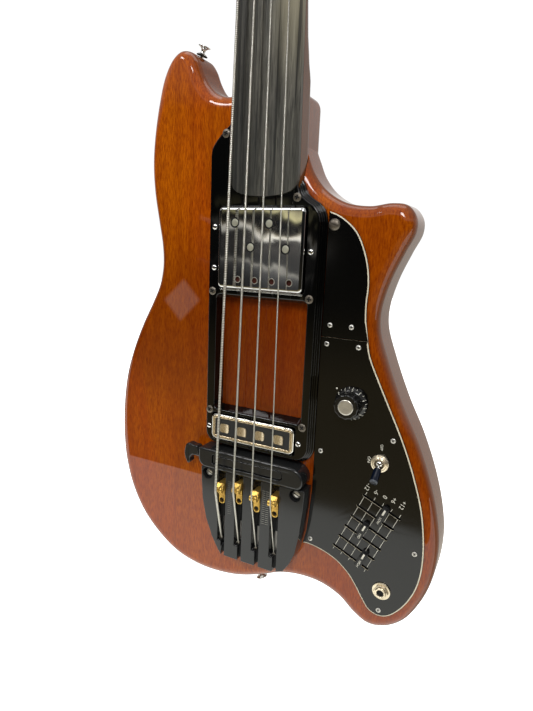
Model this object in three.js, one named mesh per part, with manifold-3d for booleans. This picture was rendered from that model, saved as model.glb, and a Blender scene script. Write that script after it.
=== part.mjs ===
// Fretless four-string electric bass guitar, millimetres.
// +X is the treble side, -Y is the playing side and +Z runs up the neck. The hanger point under the
// headstock is the origin; inside the instrument group the string saddles are at z = 0.
import * as THREE from 'three';
import { mergeVertices } from 'three/addons/utils/BufferGeometryUtils.js';
import Module from 'manifold-3d';

const wasm = await Module();
wasm.setup();

// Driving dimensions.
const GAP = 0.3;
const SCALE_LENGTH = 863.6;
const HANGER_HEIGHT = 882;

// Depths of the layers, from the strings (front) to the back of the body.
const STRING_Y_SADDLE = -14.25;
const STRING_Y_NUT = -6.2;
const BOARD_TOP = -3.35;
const BOARD_BACK = 3.2;
const NECK_FACE = BOARD_BACK + GAP;
const NECK_HEEL_BACK = 21.4;
const NECK_BACK_AT_NUT = 18;
const BODY_FACE = 11.5;
const BODY_BACK = 57.5;
const BODY_MIDDLE = 34;
const COVER_BACK = BODY_FACE - GAP;
const PLATE_FACE = 8.9;
const BRIDGE_FACE = -6;
const SLOT_FLOOR = 4;

// Neck and fingerboard.
const BOARD_END = 267.5;
const BOARD_FULL_WIDTH_AT = 300;
const BOARD_HALF_WIDTH = 31.4;
const NUT_HALF_WIDTH = 20.65;
const NUT_THICKNESS = 6;
const NECK_END = 275;
const HEEL_TOP = 356;

// Strings, from the bass side to the treble side.
const STRINGS = [
  { name: 'e', radius: 1.3 },
  { name: 'a', radius: 1.05 },
  { name: 'd', radius: 0.8 },
  { name: 'g', radius: 0.6 },
];
const BRIDGE_SPACING = 19.33;
const BRIDGE_STRING_CENTRE = -2.6;
const NUT_SPACING = 10.3;
const SADDLE_Z = [-4, 0, -3, -3];
const SADDLE_RADIUS = 3.1;
const ANCHOR = { y: -1.2, z: -58 };

const BOLT_Z = 7.4;

// Mute lever axle, along X.
const MUTE_AXIS = { y: 0.5, z: 23.75 };

// Electronics on the control plate.
const KNOB = { x: 87.8, z: 98 };
const TOGGLE = { x: 117, z: 50, pivotY: 6.6, lean: 35 };
const JACK = { x: 128, z: -68, bore: 3.2 };
const EQ = { x: 109.5, z: -17, turn: 23.5, pitch: 11.95, length: 37.5, width: 2 };
const SLIDER_REST = [4.1, -3, 9];

// Headstock.
const HEAD_TILT = 9;
const HEAD_THICKNESS = 15;
const KEY_DEPTH = 21.6;
const HEAD_POSTS = [
  { x: -23, z: 48 },
  { x: -25, z: 116 },
  { x: 25, z: 116 },
  { x: 23, z: 48 },
];

const rad = THREE.MathUtils.degToRad;

function material(color, roughness, metalness) {
  return new THREE.MeshStandardMaterial({ color, roughness, metalness });
}

const MAHOGANY = material(0x9a4a12, 0.25, 0);
const EBONY = material(0x24211e, 0.5, 0);
const BLACK_GLOSS = material(0x121212, 0.15, 0);
const BONE = material(0xe6dcc0, 0.45, 0);
const CHROME = material(0xd8d8d8, 0.12, 1);
const STEEL = material(0xb4b2ac, 0.3, 1);
const BRASS = material(0xd8a84a, 0.25, 1);
const ALUMINIUM = material(0xc4c6c8, 0.35, 1);
const BLACK_PLASTIC = material(0x1a1a1c, 0.4, 0);
const BLUE_PLASTIC = material(0x14202e, 0.3, 0);
const FELT = material(0x2b2624, 0.95, 0);
const BOARD_GREEN = material(0x1f5a35, 0.6, 0);
const COPPER = material(0x7a3a1c, 0.5, 0.4);

// ---- outlines: lists of [x, z] seen from the playing side, anticlockwise -------------------------

function signedArea(loop) {
  return loop.reduce((sum, [x, z], i) => {
    const [nextX, nextZ] = loop[(i + 1) % loop.length];
    return sum + (x * nextZ - nextX * z) / 2;
  }, 0);
}

function smoothLoop(points, count) {
  const knots = points.map(([x, z]) => new THREE.Vector3(x, z, 0));
  const curve = new THREE.CatmullRomCurve3(knots, true, 'centripetal');
  return curve.getSpacedPoints(count).slice(0, -1).map((p) => [p.x, p.y]);
}

function smoothRun(points, count) {
  const curve = new THREE.SplineCurve(points.map(([x, z]) => new THREE.Vector2(x, z)));
  return curve.getPoints(count).map((p) => [p.x, p.y]);
}

function arc(x, z, r, from, to, steps) {
  return Array.from({ length: steps + 1 }, (_, i) => {
    const angle = rad(from + ((to - from) * i) / steps);
    return [x + r * Math.cos(angle), z + r * Math.sin(angle)];
  });
}

function circle(x, z, r, sides = 16) {
  return arc(x, z, r, 0, 360, sides).slice(0, -1);
}

function roundedBox(x0, x1, z0, z1, r, steps = 3) {
  return [
    ...arc(x1 - r, z0 + r, r, -90, 0, steps),
    ...arc(x1 - r, z1 - r, r, 0, 90, steps),
    ...arc(x0 + r, z1 - r, r, 90, 180, steps),
    ...arc(x0 + r, z0 + r, r, 180, 270, steps),
  ];
}

function box(x0, x1, z0, z1) {
  return [[x0, z0], [x1, z0], [x1, z1], [x0, z1]];
}

// Moves every corner of a loop to its left, which is into the material.
function inset(loop, distance) {
  return loop.map(([x, z], i) => {
    const [ax, az] = loop[(i + loop.length - 1) % loop.length];
    const [bx, bz] = loop[(i + 1) % loop.length];
    const before = new THREE.Vector2(-(z - az), x - ax).normalize();
    const after = new THREE.Vector2(-(bz - z), bx - x).normalize();
    const push = before.clone().add(after).multiplyScalar(distance / (1 + before.dot(after)));
    return [x + push.x, z + push.y];
  });
}

// ---- solids -----------------------------------------------------------------------------------

function geometryOf(vertices, triangles) {
  const geometry = new THREE.BufferGeometry();
  geometry.setAttribute('position', new THREE.Float32BufferAttribute(vertices.flat(), 3));
  geometry.setIndex(triangles.flat());
  return geometry;
}

// Stacks copies of an outline with holes. A level is [y, inset, inset of the holes], front to back.
function slab(outline, levels, holes = []) {
  const loops = [outline, ...holes].map((loop, i) => {
    const anticlockwise = signedArea(loop) > 0;
    return anticlockwise === (i === 0) ? loop : [...loop].reverse();
  });
  const vertices = [];
  const triangles = [];
  const size = loops.reduce((sum, loop) => sum + loop.length, 0);
  levels.forEach(([y, pull, holePull = 0]) => {
    loops.forEach((loop, i) => {
      inset(loop, i === 0 ? pull : holePull).forEach(([x, z]) => vertices.push([x, y, z]));
    });
  });
  for (let level = 0; level + 1 < levels.length; level += 1) {
    let start = level * size;
    loops.forEach((loop) => {
      loop.forEach((_, i) => {
        const a = start + i;
        const b = start + ((i + 1) % loop.length);
        triangles.push([a, a + size, b + size], [a, b + size, b]);
      });
      start += loop.length;
    });
  }
  const flat = vertices.slice(0, size).map(([x, , z]) => new THREE.Vector2(x, z));
  const holeLoops = [];
  let start = loops[0].length;
  loops.slice(1).forEach((loop) => {
    holeLoops.push(flat.slice(start, start + loop.length));
    start += loop.length;
  });
  const cap = THREE.ShapeUtils.triangulateShape(flat.slice(0, loops[0].length), holeLoops);
  const last = (levels.length - 1) * size;
  cap.forEach(([a, b, c]) => {
    triangles.push([a, b, c], [last + a, last + c, last + b]);
  });
  return geometryOf(vertices, triangles);
}

// Joins rings of equal size, each a list of [x, y, z], and closes both ends with a fan.
function loft(rings) {
  const size = rings[0].length;
  const vertices = rings.flat();
  const triangles = [];
  for (let ring = 0; ring + 1 < rings.length; ring += 1) {
    for (let i = 0; i < size; i += 1) {
      const a = ring * size + i;
      const b = ring * size + ((i + 1) % size);
      triangles.push([a, b, b + size], [a, b + size, a + size]);
    }
  }
  const last = (rings.length - 1) * size;
  for (let i = 1; i + 1 < size; i += 1) {
    triangles.push([0, i + 1, i], [last, last + i, last + i + 1]);
  }
  return outward(geometryOf(vertices, triangles));
}

// A solid of revolution about Y from a profile of [radius, y] that starts and ends on the axis.
function turned(profile, sides = 16) {
  const points = profile.map(([r, y]) => new THREE.Vector2(r, y));
  return outward(new THREE.LatheGeometry(points, sides));
}

// A ring about Y, whose profile of [radius, y] closes on itself.
function turnedRing(profile, sides = 16) {
  return turned([...profile, profile[0]], sides);
}

function cylinder(r, y0, y1, sides = 16) {
  return turned([[0, y0], [r, y0], [r, y1], [0, y1]], sides);
}

function block(x0, x1, y0, y1, z0, z1) {
  return slab(box(x0, x1, z0, z1), [[y0, 0], [y1, 0]]);
}

// A round bar through a list of points, cut square at both ends and mitred at each bend.
function bar(points, r, sides = 10) {
  const path = points.map((p) => new THREE.Vector3(...p));
  const rings = path.map((point, i) => {
    const before = path[Math.max(i, 1)].clone().sub(path[Math.max(i, 1) - 1]).normalize();
    const next = Math.min(i, path.length - 2);
    const after = path[next + 1].clone().sub(path[next]).normalize();
    const along = before.clone().add(after).normalize();
    const side = new THREE.Vector3(1, 0.01, 0.02).cross(along).normalize();
    const up = along.clone().cross(side);
    const stretch = 1 / along.dot(after);
    return Array.from({ length: sides }, (_, k) => {
      const angle = (2 * Math.PI * k) / sides;
      const offset = side.clone().multiplyScalar(r * stretch * Math.cos(angle));
      offset.addScaledVector(up, r * Math.sin(angle));
      return point.clone().add(offset).toArray();
    });
  });
  return loft(rings);
}

function welded(geometry) {
  const plain = geometry.index ? geometry.clone() : mergeVertices(geometry);
  plain.deleteAttribute('normal');
  plain.deleteAttribute('uv');
  return mergeVertices(plain, 1e-4);
}

function volume(geometry) {
  const p = geometry.getAttribute('position');
  const index = geometry.getIndex().array;
  let sum = 0;
  for (let i = 0; i < index.length; i += 3) {
    const [a, b, c] = [0, 1, 2].map((k) => new THREE.Vector3().fromBufferAttribute(p, index[i + k]));
    sum += a.dot(b.cross(c)) / 6;
  }
  return sum;
}

// Welds a closed surface, drops its empty triangles and turns its faces out.
function outward(geometry) {
  const plain = welded(geometry);
  const index = Array.from(plain.getIndex().array);
  const kept = [];
  for (let i = 0; i < index.length; i += 3) {
    const [a, b, c] = index.slice(i, i + 3);
    if (a !== b && b !== c && c !== a) kept.push([a, b, c]);
  }
  plain.setIndex(kept.flat());
  if (volume(plain) < 0) plain.setIndex(kept.map(([a, b, c]) => [a, c, b]).flat());
  return plain;
}

function toSolid(geometry) {
  const plain = welded(geometry);
  return new wasm.Manifold(new wasm.Mesh({
    numProp: 3,
    vertProperties: new Float32Array(plain.getAttribute('position').array),
    triVerts: new Uint32Array(plain.getIndex().array),
  }));
}

function fromSolid(solid) {
  const mesh = solid.getMesh();
  const geometry = new THREE.BufferGeometry();
  geometry.setAttribute('position', new THREE.Float32BufferAttribute(mesh.vertProperties, 3));
  geometry.setIndex(Array.from(mesh.triVerts));
  return geometry;
}

function cut(geometry, ...tools) {
  return fromSolid(tools.reduce((solid, tool) => solid.subtract(toSolid(tool)), toSolid(geometry)));
}

function join(geometry, ...others) {
  return fromSolid(others.reduce((solid, other) => solid.add(toSolid(other)), toSolid(geometry)));
}

function at(geometry, x, y, z) {
  return geometry.clone().translate(x, y, z);
}

// Turns a solid about Y into one about X (pointing to +X for its +Y) or about Z.
function alongX(geometry) {
  return geometry.clone().rotateZ(-Math.PI / 2);
}

function alongZ(geometry) {
  return geometry.clone().rotateX(Math.PI / 2);
}

const instrument = new THREE.Group();
instrument.position.z = -HANGER_HEIGHT;

function part(name, geometry, look, parent = instrument) {
  const mesh = new THREE.Mesh(geometry, look);
  mesh.name = name;
  parent.add(mesh);
  return mesh;
}

// ---- shared places ------------------------------------------------------------------------------

function boardHalfWidth(z) {
  const taper = (BOARD_HALF_WIDTH - NUT_HALF_WIDTH) / (SCALE_LENGTH - BOARD_FULL_WIDTH_AT);
  return BOARD_HALF_WIDTH - taper * (z - BOARD_FULL_WIDTH_AT);
}

function stringX(index, z) {
  const atBridge = BRIDGE_STRING_CENTRE + (index - 1.5) * BRIDGE_SPACING;
  const atNut = (index - 1.5) * NUT_SPACING;
  return atBridge + ((atNut - atBridge) * z) / SCALE_LENGTH;
}

function stringY(z) {
  return STRING_Y_SADDLE + ((STRING_Y_NUT - STRING_Y_SADDLE) * z) / SCALE_LENGTH;
}

function boardOutline(margin = 0) {
  const top = SCALE_LENGTH - GAP;
  const end = [
    [-31.7, 281], [-29.6, 275], [-25, 271.2], [-14, 268.4], [0, BOARD_END],
    [14, 268.4], [25, 271.2], [29.6, 275], [31.7, 281],
  ];
  return inset([...end, [boardHalfWidth(top), top], [-boardHalfWidth(top), top]], -margin);
}

function heelOutline(margin = 0) {
  const width = boardHalfWidth(NECK_END) + margin;
  const top = HEEL_TOP + 60;
  const topWidth = boardHalfWidth(top) + margin;
  return [[-width, NECK_END - margin], [width, NECK_END - margin], [topWidth, top], [-topWidth, top]];
}

const BODY_OUTLINE = [
  [-97, 397.5], [-107, 392], [-117, 377], [-124.5, 351], [-129.6, 321], [-131, 298], [-129, 272],
  [-124, 245], [-119.8, 222], [-119.2, 203], [-123, 185], [-131.5, 167], [-144, 144], [-157, 115],
  [-166.5, 85], [-171.5, 50], [-172, 15], [-169, -12], [-160, -42], [-144.5, -69], [-122, -91],
  [-98, -105.5], [-72, -112.2], [-46, -112.8], [-20, -108.8], [6, -99.5], [27, -90], [50, -85.6],
  [70, -86.8], [87, -93.3], [102, -105], [116, -111.6], [131, -109.2], [147, -97.8], [160, -76],
  [168.2, -50], [170.4, -20], [166.8, 6], [158, 37], [145, 69], [128, 102], [113, 137], [104.6, 162],
  [104.2, 179], [110, 203], [119.5, 226], [126.6, 242], [126.2, 253], [118.5, 262.5], [106, 264.4],
  [88, 262], [67, 264.7], [49.4, 274.3], [37.5, 288], [30.5, 303], [22, 320], [0, 340], [-22, 352],
  [-40, 354.6], [-51, 355.4], [-61, 359], [-69.5, 366.5], [-75.5, 376], [-80.5, 387], [-87, 394.8],
];

const PLATE_OUTLINE = [
  [57, 152.2], [57, 10], [54, -30], [51, -44.6], [58, -44.8], [70, -47], [84.4, -52.8], [96.5, -62.5],
  [104.4, -72.8], [111, -83], [117.5, -91], [126.7, -94], [134.8, -91.7], [143, -84.2], [151.3, -71.7],
  [157.2, -57], [160, -41.7], [160.4, -24], [158.7, -5], [154.9, 16], [148.4, 37.2], [140, 59.4],
  [130.4, 80.5], [120.7, 99.4], [110, 120.5], [101, 139.6], [97.8, 152.2],
];

const GUARD_OUTLINE = [
  [57.2, 256.8], [57.2, 152.8], [97.8, 152.8], [95, 169], [94.4, 183], [95, 198], [93.3, 213],
  [88, 229.5], [81, 241.8], [71, 250.6], [63, 255],
];

// ---- body, neck and head ------------------------------------------------------------------------

// Insets and depths of a quarter-round edge that runs from y0 on the face to y1 on the side.
function roundedEdge(face, radius, steps, towardsBack) {
  return Array.from({ length: steps + 1 }, (_, i) => {
    const angle = (Math.PI / 2) * (i / steps);
    return [face + towardsBack * radius * (1 - Math.cos(angle)), radius * (1 - Math.sin(angle))];
  });
}

function thickness(front, back, frontRound, backRound, steps) {
  return [
    ...roundedEdge(front, frontRound, steps, 1),
    ...roundedEdge(back, backRound, steps, -1).reverse(),
  ];
}

function pickupCavity(x0, x1, z0, z1) {
  return slab(roundedBox(x0, x1, z0, z1, 5), [[BODY_FACE - 1, 0], [38, 0]]);
}

function makeBody() {
  const main = slab(smoothLoop(BODY_OUTLINE, 100), thickness(BODY_FACE, BODY_BACK, 11, 9, 3));
  const tongueShape = [
    [-31, 270], [27, 270], [27, 345], [25, 351], [20, HEEL_TOP - 1], [8, HEEL_TOP],
    [-20, HEEL_TOP], [-31, HEEL_TOP - 2],
  ];
  const tongue = slab(tongueShape, thickness(NECK_HEEL_BACK + 4, BODY_BACK, 1, 7, 2));
  const step = slab(inset(tongueShape, 0.4), [[NECK_HEEL_BACK + GAP, 0], [NECK_HEEL_BACK + 8, 0]]);
  const pocket = slab(heelOutline(GAP), [[0, 0], [NECK_HEEL_BACK + GAP, 0]]);
  const controls = slab(inset(smoothLoop(PLATE_OUTLINE, 60), 7), [[BODY_FACE - 1, 0], [50, 0]]);
  const battery = slab(roundedBox(66, 96, -34, 24, 4), [[49, 0], [BODY_BACK + 1, 0]]);
  const batteryLid = slab(roundedBox(60, 102, -42, 32, 5), [[54.7, 0], [BODY_BACK + 1, 0]]);
  const bolts = [-46.5, 46.5].map((x) => at(cylinder(3.3, 5, 36), x, 0, BOLT_Z));
  return cut(
    join(main, tongue, step), pocket, controls, battery, batteryLid, ...bolts,
    pickupCavity(-43, 43, 186.5, 260.5), pickupCavity(-47, 42, 42, 69.5),
    ...strapScrewHoles(),
  );
}

// A flat-topped section of the neck, square at the heel and round along the playing length.
function neckRing(z, back, power) {
  const width = boardHalfWidth(z);
  const steps = 16;
  return Array.from({ length: steps + 1 }, (_, i) => {
    const angle = (Math.PI * i) / steps;
    const across = Math.sign(Math.cos(angle)) * Math.abs(Math.cos(angle)) ** (2 / power);
    const deep = Math.sin(angle) ** (2 / power);
    return [width * across, NECK_FACE + (back - NECK_FACE) * deep, z];
  });
}

const HEAD_OUTLINE = [
  [-20.7, 0], [20.7, 0], [24, 12], [33, 26], [40, 40], [42.5, 56], [41.5, 84],
  [41.5, 110], [42, 128], [38, 148], [29, 163], [15, 172], [0, 175], [-15, 172], [-29, 163],
  [-38, 148], [-42, 128], [-41.5, 110], [-41.5, 84], [-42.5, 56], [-40, 40], [-33, 26], [-24, 12],
];

const head = new THREE.Group();
head.position.set(0, NECK_FACE, SCALE_LENGTH + NUT_THICKNESS + 2);
head.rotation.x = -rad(HEAD_TILT);
instrument.add(head);
head.updateMatrix();

function makeNeck() {
  const sections = [
    [NECK_END, NECK_HEEL_BACK, 14], [HEEL_TOP + 4, NECK_HEEL_BACK, 14], [372, NECK_HEEL_BACK, 6],
    [392, 21, 3.4], [420, 20.4, 2.5], [640, 19.4, 2.3], [840, NECK_BACK_AT_NUT, 2.3],
    [SCALE_LENGTH + NUT_THICKNESS + 3, NECK_BACK_AT_NUT + 1, 2.4],
  ];
  const shaft = loft(sections.map(([z, back, power]) => neckRing(z, back, power)));
  const slabHead = slab(HEAD_OUTLINE, thickness(0, HEAD_THICKNESS, 1.5, 3, 2));
  const cheeks = slabHead.applyMatrix4(head.matrix);
  const posts = HEAD_POSTS.map(({ x, z }) => at(cylinder(6.8, -5, 30), x, 0, z).applyMatrix4(head.matrix));
  const rodSlot = block(-3.4, 3.4, NECK_FACE - 1, 11, 296, SCALE_LENGTH + 2);
  const rodMouth = block(-5, 5, -3, 9, 2, 26).applyMatrix4(head.matrix);
  return cut(join(shaft, cheeks), ...posts, rodSlot, rodMouth);
}

function makeFingerboard() {
  return slab(boardOutline(), [[BOARD_TOP, 0.6], [BOARD_TOP + 0.6, 0], [BOARD_BACK, 0]]);
}

function makeNut() {
  const foot = SCALE_LENGTH;
  const blank = block(-20.5, 20.5, -7.2, NECK_FACE - GAP, foot, foot + NUT_THICKNESS);
  const grooves = STRINGS.map(({ radius }, i) => {
    const x = stringX(i, SCALE_LENGTH);
    const half = radius + GAP;
    const depth = STRING_Y_NUT + half;
    return block(x - half, x + half, -9, depth, foot - 1, foot + NUT_THICKNESS + 1);
  });
  return cut(blank, ...grooves);
}

function makeHeadOverlay() {
  const face = slab(inset(HEAD_OUTLINE, 0.6), [[-1.8, 0.4], [-1.4, 0], [-GAP, 0]]);
  const posts = HEAD_POSTS.map(({ x, z }) => at(cylinder(6.8, -5, 5), x, 0, z));
  return cut(face, ...posts, block(-5, 5, -4, 2, -2, 26));
}

function makeTrussRodCover() {
  const shape = [[-10, 3], [10, 3], [11, 12], [9, 24], [5, 33], [0, 36], [-5, 33], [-9, 24], [-11, 12]];
  return slab(shape, [[-4.1, 0.5], [-3.6, 0], [-2.1, 0]]);
}

function makeTrussRod() {
  const rod = alongZ(cylinder(3, 300, SCALE_LENGTH - 4, 12));
  const nut = alongZ(cylinder(2.4, SCALE_LENGTH - 5, SCALE_LENGTH + 1.5, 6));
  return at(join(rod, nut), 0, 7.3, 0);
}

// ---- tuners -------------------------------------------------------------------------------------

function makeTunerHousing(side) {
  const shell = slab(roundedBox(-13, 13, -15, 15, 3, 2), [[15.3, 0], [26, 0], [27, 1]]);
  const postBore = cylinder(5.6, 14, 16.9);
  const shaftBore = at(alongX(cylinder(3.4, 0, 20)), -4, KEY_DEPTH, 0);
  if (side < 0) shaftBore.rotateZ(Math.PI).translate(0, 2 * KEY_DEPTH, 0);
  return cut(shell, postBore, shaftBore);
}

function makeTunerPost() {
  const profile = [[0, -22], [5, -22], [5.6, -21], [4.7, -15], [4.7, -8], [6, -4], [6, 10], [5.2, 12],
    [5.2, 16.6], [0, 16.6]];
  return turned(profile, 12);
}

function makeTunerKey() {
  const shaft = alongX(cylinder(3, -3.4, 27, 12));
  const collar = alongX(cylinder(4.4, 20, 25, 12));
  const earShape = [[24, 0], [29, 9], [38, 12.5], [46, 9], [48.5, 0], [46, -9], [38, -12.5], [29, -9]];
  const ear = slab(smoothLoop(earShape, 16), [[-2.2, 1.2], [-1, 0], [1, 0], [2.2, 1.2]]);
  return join(shaft, collar, ear);
}

function addTuners() {
  HEAD_POSTS.forEach(({ x, z }, i) => {
    const side = Math.sign(x);
    const tuner = new THREE.Group();
    tuner.position.set(x, 0, z);
    head.add(tuner);
    part(`tuner_housing_${STRINGS[i].name}`, makeTunerHousing(side), CHROME, tuner);
    part(`tuner_post_${STRINGS[i].name}`, makeTunerPost(), CHROME, tuner);
    const key = part(`tuner_key_${STRINGS[i].name}`, makeTunerKey(), CHROME, tuner);
    key.position.y = KEY_DEPTH;
    if (side < 0) key.rotation.z = Math.PI;
  });
}

// ---- strings, bridge and saddles ----------------------------------------------------------------

function addStrings() {
  STRINGS.forEach(({ name, radius }, i) => {
    const saddle = new THREE.Vector3(stringX(i, SADDLE_Z[i]), STRING_Y_SADDLE, SADDLE_Z[i] - 0.6);
    const anchor = new THREE.Vector3(saddle.x, ANCHOR.y, ANCHOR.z);
    const nutFront = new THREE.Vector3(stringX(i, SCALE_LENGTH), STRING_Y_NUT, SCALE_LENGTH);
    const nutBack = nutFront.clone().add(new THREE.Vector3(0, 0, NUT_THICKNESS + 0.5));
    const { x, z } = HEAD_POSTS[i];
    const clear = 4.7 + radius + GAP;
    const post = new THREE.Vector3(x - Math.sign(x) * clear, -11.5, z).applyMatrix4(head.matrix);
    const path = [anchor, saddle, nutFront, nutBack, post].map((p) => p.toArray());
    part(`string_${name}`, bar(path, radius), STEEL);
  });
}

const BRIDGE_OUTLINE = [
  [-53.9, 13.7], [-53.4, 0], [-52, -20], [-47.5, -40], [-40.2, -58], [-33.2, -70], [-30.5, -73],
  [-24, -75], [18, -75], [33, -73], [38, -71], [44, -62], [49, -50], [52.5, -30], [54.8, -5],
  [55.6, 13.7],
];

function slotX(index) {
  return -30 + 18.97 * index;
}

function makeBridgeBlock() {
  const levels = [[BRIDGE_FACE, 1.4], [BRIDGE_FACE + 0.5, 0.4], [BRIDGE_FACE + 1.4, 0], [COVER_BACK, 0]];
  const blank = slab(BRIDGE_OUTLINE, levels);
  const slots = STRINGS.map((_, i) => block(slotX(i) - 4, slotX(i) + 4, -9, SLOT_FLOOR, -60, 14));
  const exits = STRINGS.map((_, i) => block(slotX(i) + 0.4, slotX(i) + 4, -9, 0, -78, -59));
  const bolts = [-46.5, 46.5].flatMap((x) => [
    at(cylinder(5.6, -9, 0), x, 0, BOLT_Z),
    at(cylinder(3.3, -3, 14), x, 0, BOLT_Z),
  ]);
  return cut(blank, ...slots, ...exits, ...bolts);
}

function makeMuteHousing() {
  const shape = roundedBox(-56.5, 53.5, 14, 33.5, 4, 3);
  const levels = [[-8, 1.4], [-7.4, 0.4], [-6.6, 0], [COVER_BACK, 0]];
  const window = roundedBox(-41, 34, 19, 28.5, 4.6, 4);
  const well = cut(slab(shape, levels, [window]));
  return cut(well, leverAxle(3.3, -60, -38));
}

function leverAxle(radius, from, to) {
  return at(alongX(cylinder(radius, from, to, 16)), 0, MUTE_AXIS.y, MUTE_AXIS.z);
}

function makeMuteLever() {
  const hook = slab(smoothLoop([
    [-59.6, 22.4], [-59.6, 31.9], [-65, 32.4], [-70, 33.4], [-73.4, 31.2], [-75, 26], [-75.2, 20.5],
    [-73.4, 15.4], [-70.6, 12], [-68.4, 14.2], [-68.2, 18.4], [-65.4, 21.6],
  ], 28), [[-5, 1], [-4, 0], [3, 0], [4, 1]]);
  const arm = block(-61.8, -57.3, -3.5, 3, 22, 31);
  return join(hook, arm, leverAxle(4, -62, -57.2), leverAxle(3, -60, -44));
}

function makeMutePad() {
  return slab(roundedBox(-40.5, 33.5, 19.5, 28, 4, 4), [[-7, 0.4], [-6.6, 0], [-3.4, 0]]);
}

function makeSaddle(index) {
  const x = slotX(index);
  const z = SADDLE_Z[index];
  const top = STRING_Y_SADDLE + STRINGS[index].radius + GAP;
  const foot = block(x - 3.6, x + 3.6, BRIDGE_FACE - 1, SLOT_FLOOR - GAP, z - 6, z + 6);
  const post = block(x - 3, x + 3, top + SADDLE_RADIUS, BRIDGE_FACE, z - 2.8, z + 2.8);
  const rest = at(alongX(cylinder(SADDLE_RADIUS, x - 4.4, x + 3.2)), 0, top + SADDLE_RADIUS, z);
  const tongueShape = [...arc(x, z - 13, 3.4, 180, 360, 6), [x + 3.4, z], [x - 3.4, z]];
  const tongue = slab(tongueShape, [[-1.5, 0], [SLOT_FLOOR - GAP, 0]]);
  return join(foot, post, rest, tongue);
}

function makeBridgeBolt() {
  const profile = [[0, -3], [3.4, -3], [4.4, -2.4], [4.4, -GAP], [3, -GAP], [3, 33], [0, 34.5]];
  const slot = block(-6, 6, -6, -1.8, -0.6, 0.6).rotateY(rad(25));
  return cut(turned(profile), slot);
}

// ---- pickups and their frame --------------------------------------------------------------------

function frameOutline() {
  const corner = 12;
  const low = 38.4;
  const right = smoothRun([[53, 247], [51.2, 254.6], [47, 260], [40.5, 264], [34, 270], [31, 277]], 10);
  const leftPoints = [[-31, 330], [-34.5, 327], [-42, 320.5], [-48.5, 313.5], [-52, 308], [-53, 302]];
  const left = smoothRun(leftPoints, 10);
  return [
    ...arc(53 - corner, low + corner, corner, -90, 0, 5),
    ...right,
    [16, 300],
    [-16, 320],
    ...left,
    ...arc(-53 + corner, low + corner, corner, 180, 270, 5),
  ];
}

function makePickupFrame() {
  const levels = [
    [0, 1, 0.4], [0.3, 0.4, 0.2], [1, 0], [5, 0], [5.6, -1.6], [7.4, -1.8], [8, -3.2], [COVER_BACK, -3.4],
  ];
  const holes = [
    roundedBox(-42.2, 42.2, 187.4, 259.6, 3.4),
    roundedBox(-46.4, 41.4, 42.2, 69.2, 3),
  ];
  const window = slab(roundedBox(-44.5, 45.3, 72.6, 181.6, 4), [
    [-1, -2], [1, 0], [3, 0], [COVER_BACK + 1, 3],
  ]);
  return cut(
    slab(frameOutline(), levels, holes),
    window,
    slab(boardOutline(GAP), [[-5, 0], [NECK_FACE, 0]]),
    slab(heelOutline(GAP), [[NECK_FACE - 1, 0], [20, 0]]),
  );
}

function makeNeckPickupCover() {
  const shape = roundedBox(-41.5, 41.5, 188.1, 258.9, 3);
  const shell = slab(shape, [[-4.5, 2.4], [-4.2, 1.2], [-3.4, 0.3], [-2.2, 0], [24, 0]]);
  const hollow = slab(inset(shape, 1.5), [[-2.8, 0], [26, 0]]);
  const holes = [-20.1, -3.2, 13.3, 29.8].map((x) => at(cylinder(2.4, -6, 0, 16), x, 0, 196.7));
  return cut(shell, hollow, ...holes);
}

function makeNeckPickupCoil() {
  return slab(roundedBox(-39, 39, 202, 256, 3), [[-2.2, 0.5], [-1.7, 0], [23, 0]]);
}

function makeBridgePickupBezel() {
  const shape = roundedBox(-45.4, 40.4, 43.4, 68, 3);
  const levels = [[-2, 0.9, 0.9], [-1.6, 0.3, 0.3], [-1, 0, 0], [22, 0, 0]];
  return slab(shape, levels, [inset(shape, 3)]);
}

function makeBridgePickupInsert() {
  const shape = roundedBox(-42, 37, 46.8, 64.6, 2);
  const poles = [-31.5, -12.8, 6.1, 25.2].map((x) => {
    return slab(roundedBox(x - 4.3, x + 4.3, 50.5, 57.5, 0.8, 2), [[-3, 0], [1.4, 0]]);
  });
  return cut(slab(shape, [[-1, 0.5], [-0.6, 0], [18, 0]]), ...poles);
}

function makeBridgePickupCoil() {
  return slab(roundedBox(-41, 36, 47.5, 64, 6), [[18.3, 0], [30, 0]]);
}

// ---- plates and controls ------------------------------------------------------------------------

const PLATE_LEVELS = [[PLATE_FACE, 0.7], [PLATE_FACE + 0.7, 0], [COVER_BACK, 0]];

function makeUpperGuard() {
  return cut(slab(GUARD_OUTLINE, PLATE_LEVELS), at(cylinder(2.4, 5, 14), 62.4, 0, 246));
}

function makeGuardScrew() {
  const underHead = PLATE_FACE - GAP;
  const profile = [[0, 6.2], [2.6, 6.5], [4.6, 7.4], [5, underHead], [2, underHead], [2, 11.2], [0, 11.2]];
  const slot = block(-6, 6, 5, 7.2, -0.7, 0.7).rotateY(rad(18));
  return at(cut(turned(profile), slot), 62.4, 0, 246);
}

function eqSlots() {
  const half = EQ.length / 2;
  return Array.from({ length: 6 }, (_, i) => {
    const z = (2.5 - i) * EQ.pitch;
    const shape = roundedBox(-half, half, z - EQ.width / 2, z + EQ.width / 2, 0.95, 2);
    return placeEq(slab(shape, [[5, 0], [14, 0]]));
  });
}

function placeEq(geometry) {
  return geometry.clone().rotateY(rad(EQ.turn)).translate(EQ.x, 0, EQ.z);
}

function makeControlPlate() {
  const curve = smoothRun(PLATE_OUTLINE.slice(3), 60);
  const outline = [...PLATE_OUTLINE.slice(0, 3), ...curve];
  return cut(
    slab(outline, PLATE_LEVELS),
    ...eqSlots(),
    at(cylinder(5, 5, 14), KNOB.x, 0, KNOB.z),
    at(cylinder(5.4, 5, 14), TOGGLE.x, 0, TOGGLE.z),
    at(cylinder(5.2, 5, 14), JACK.x, 0, JACK.z),
  );
}

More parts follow.
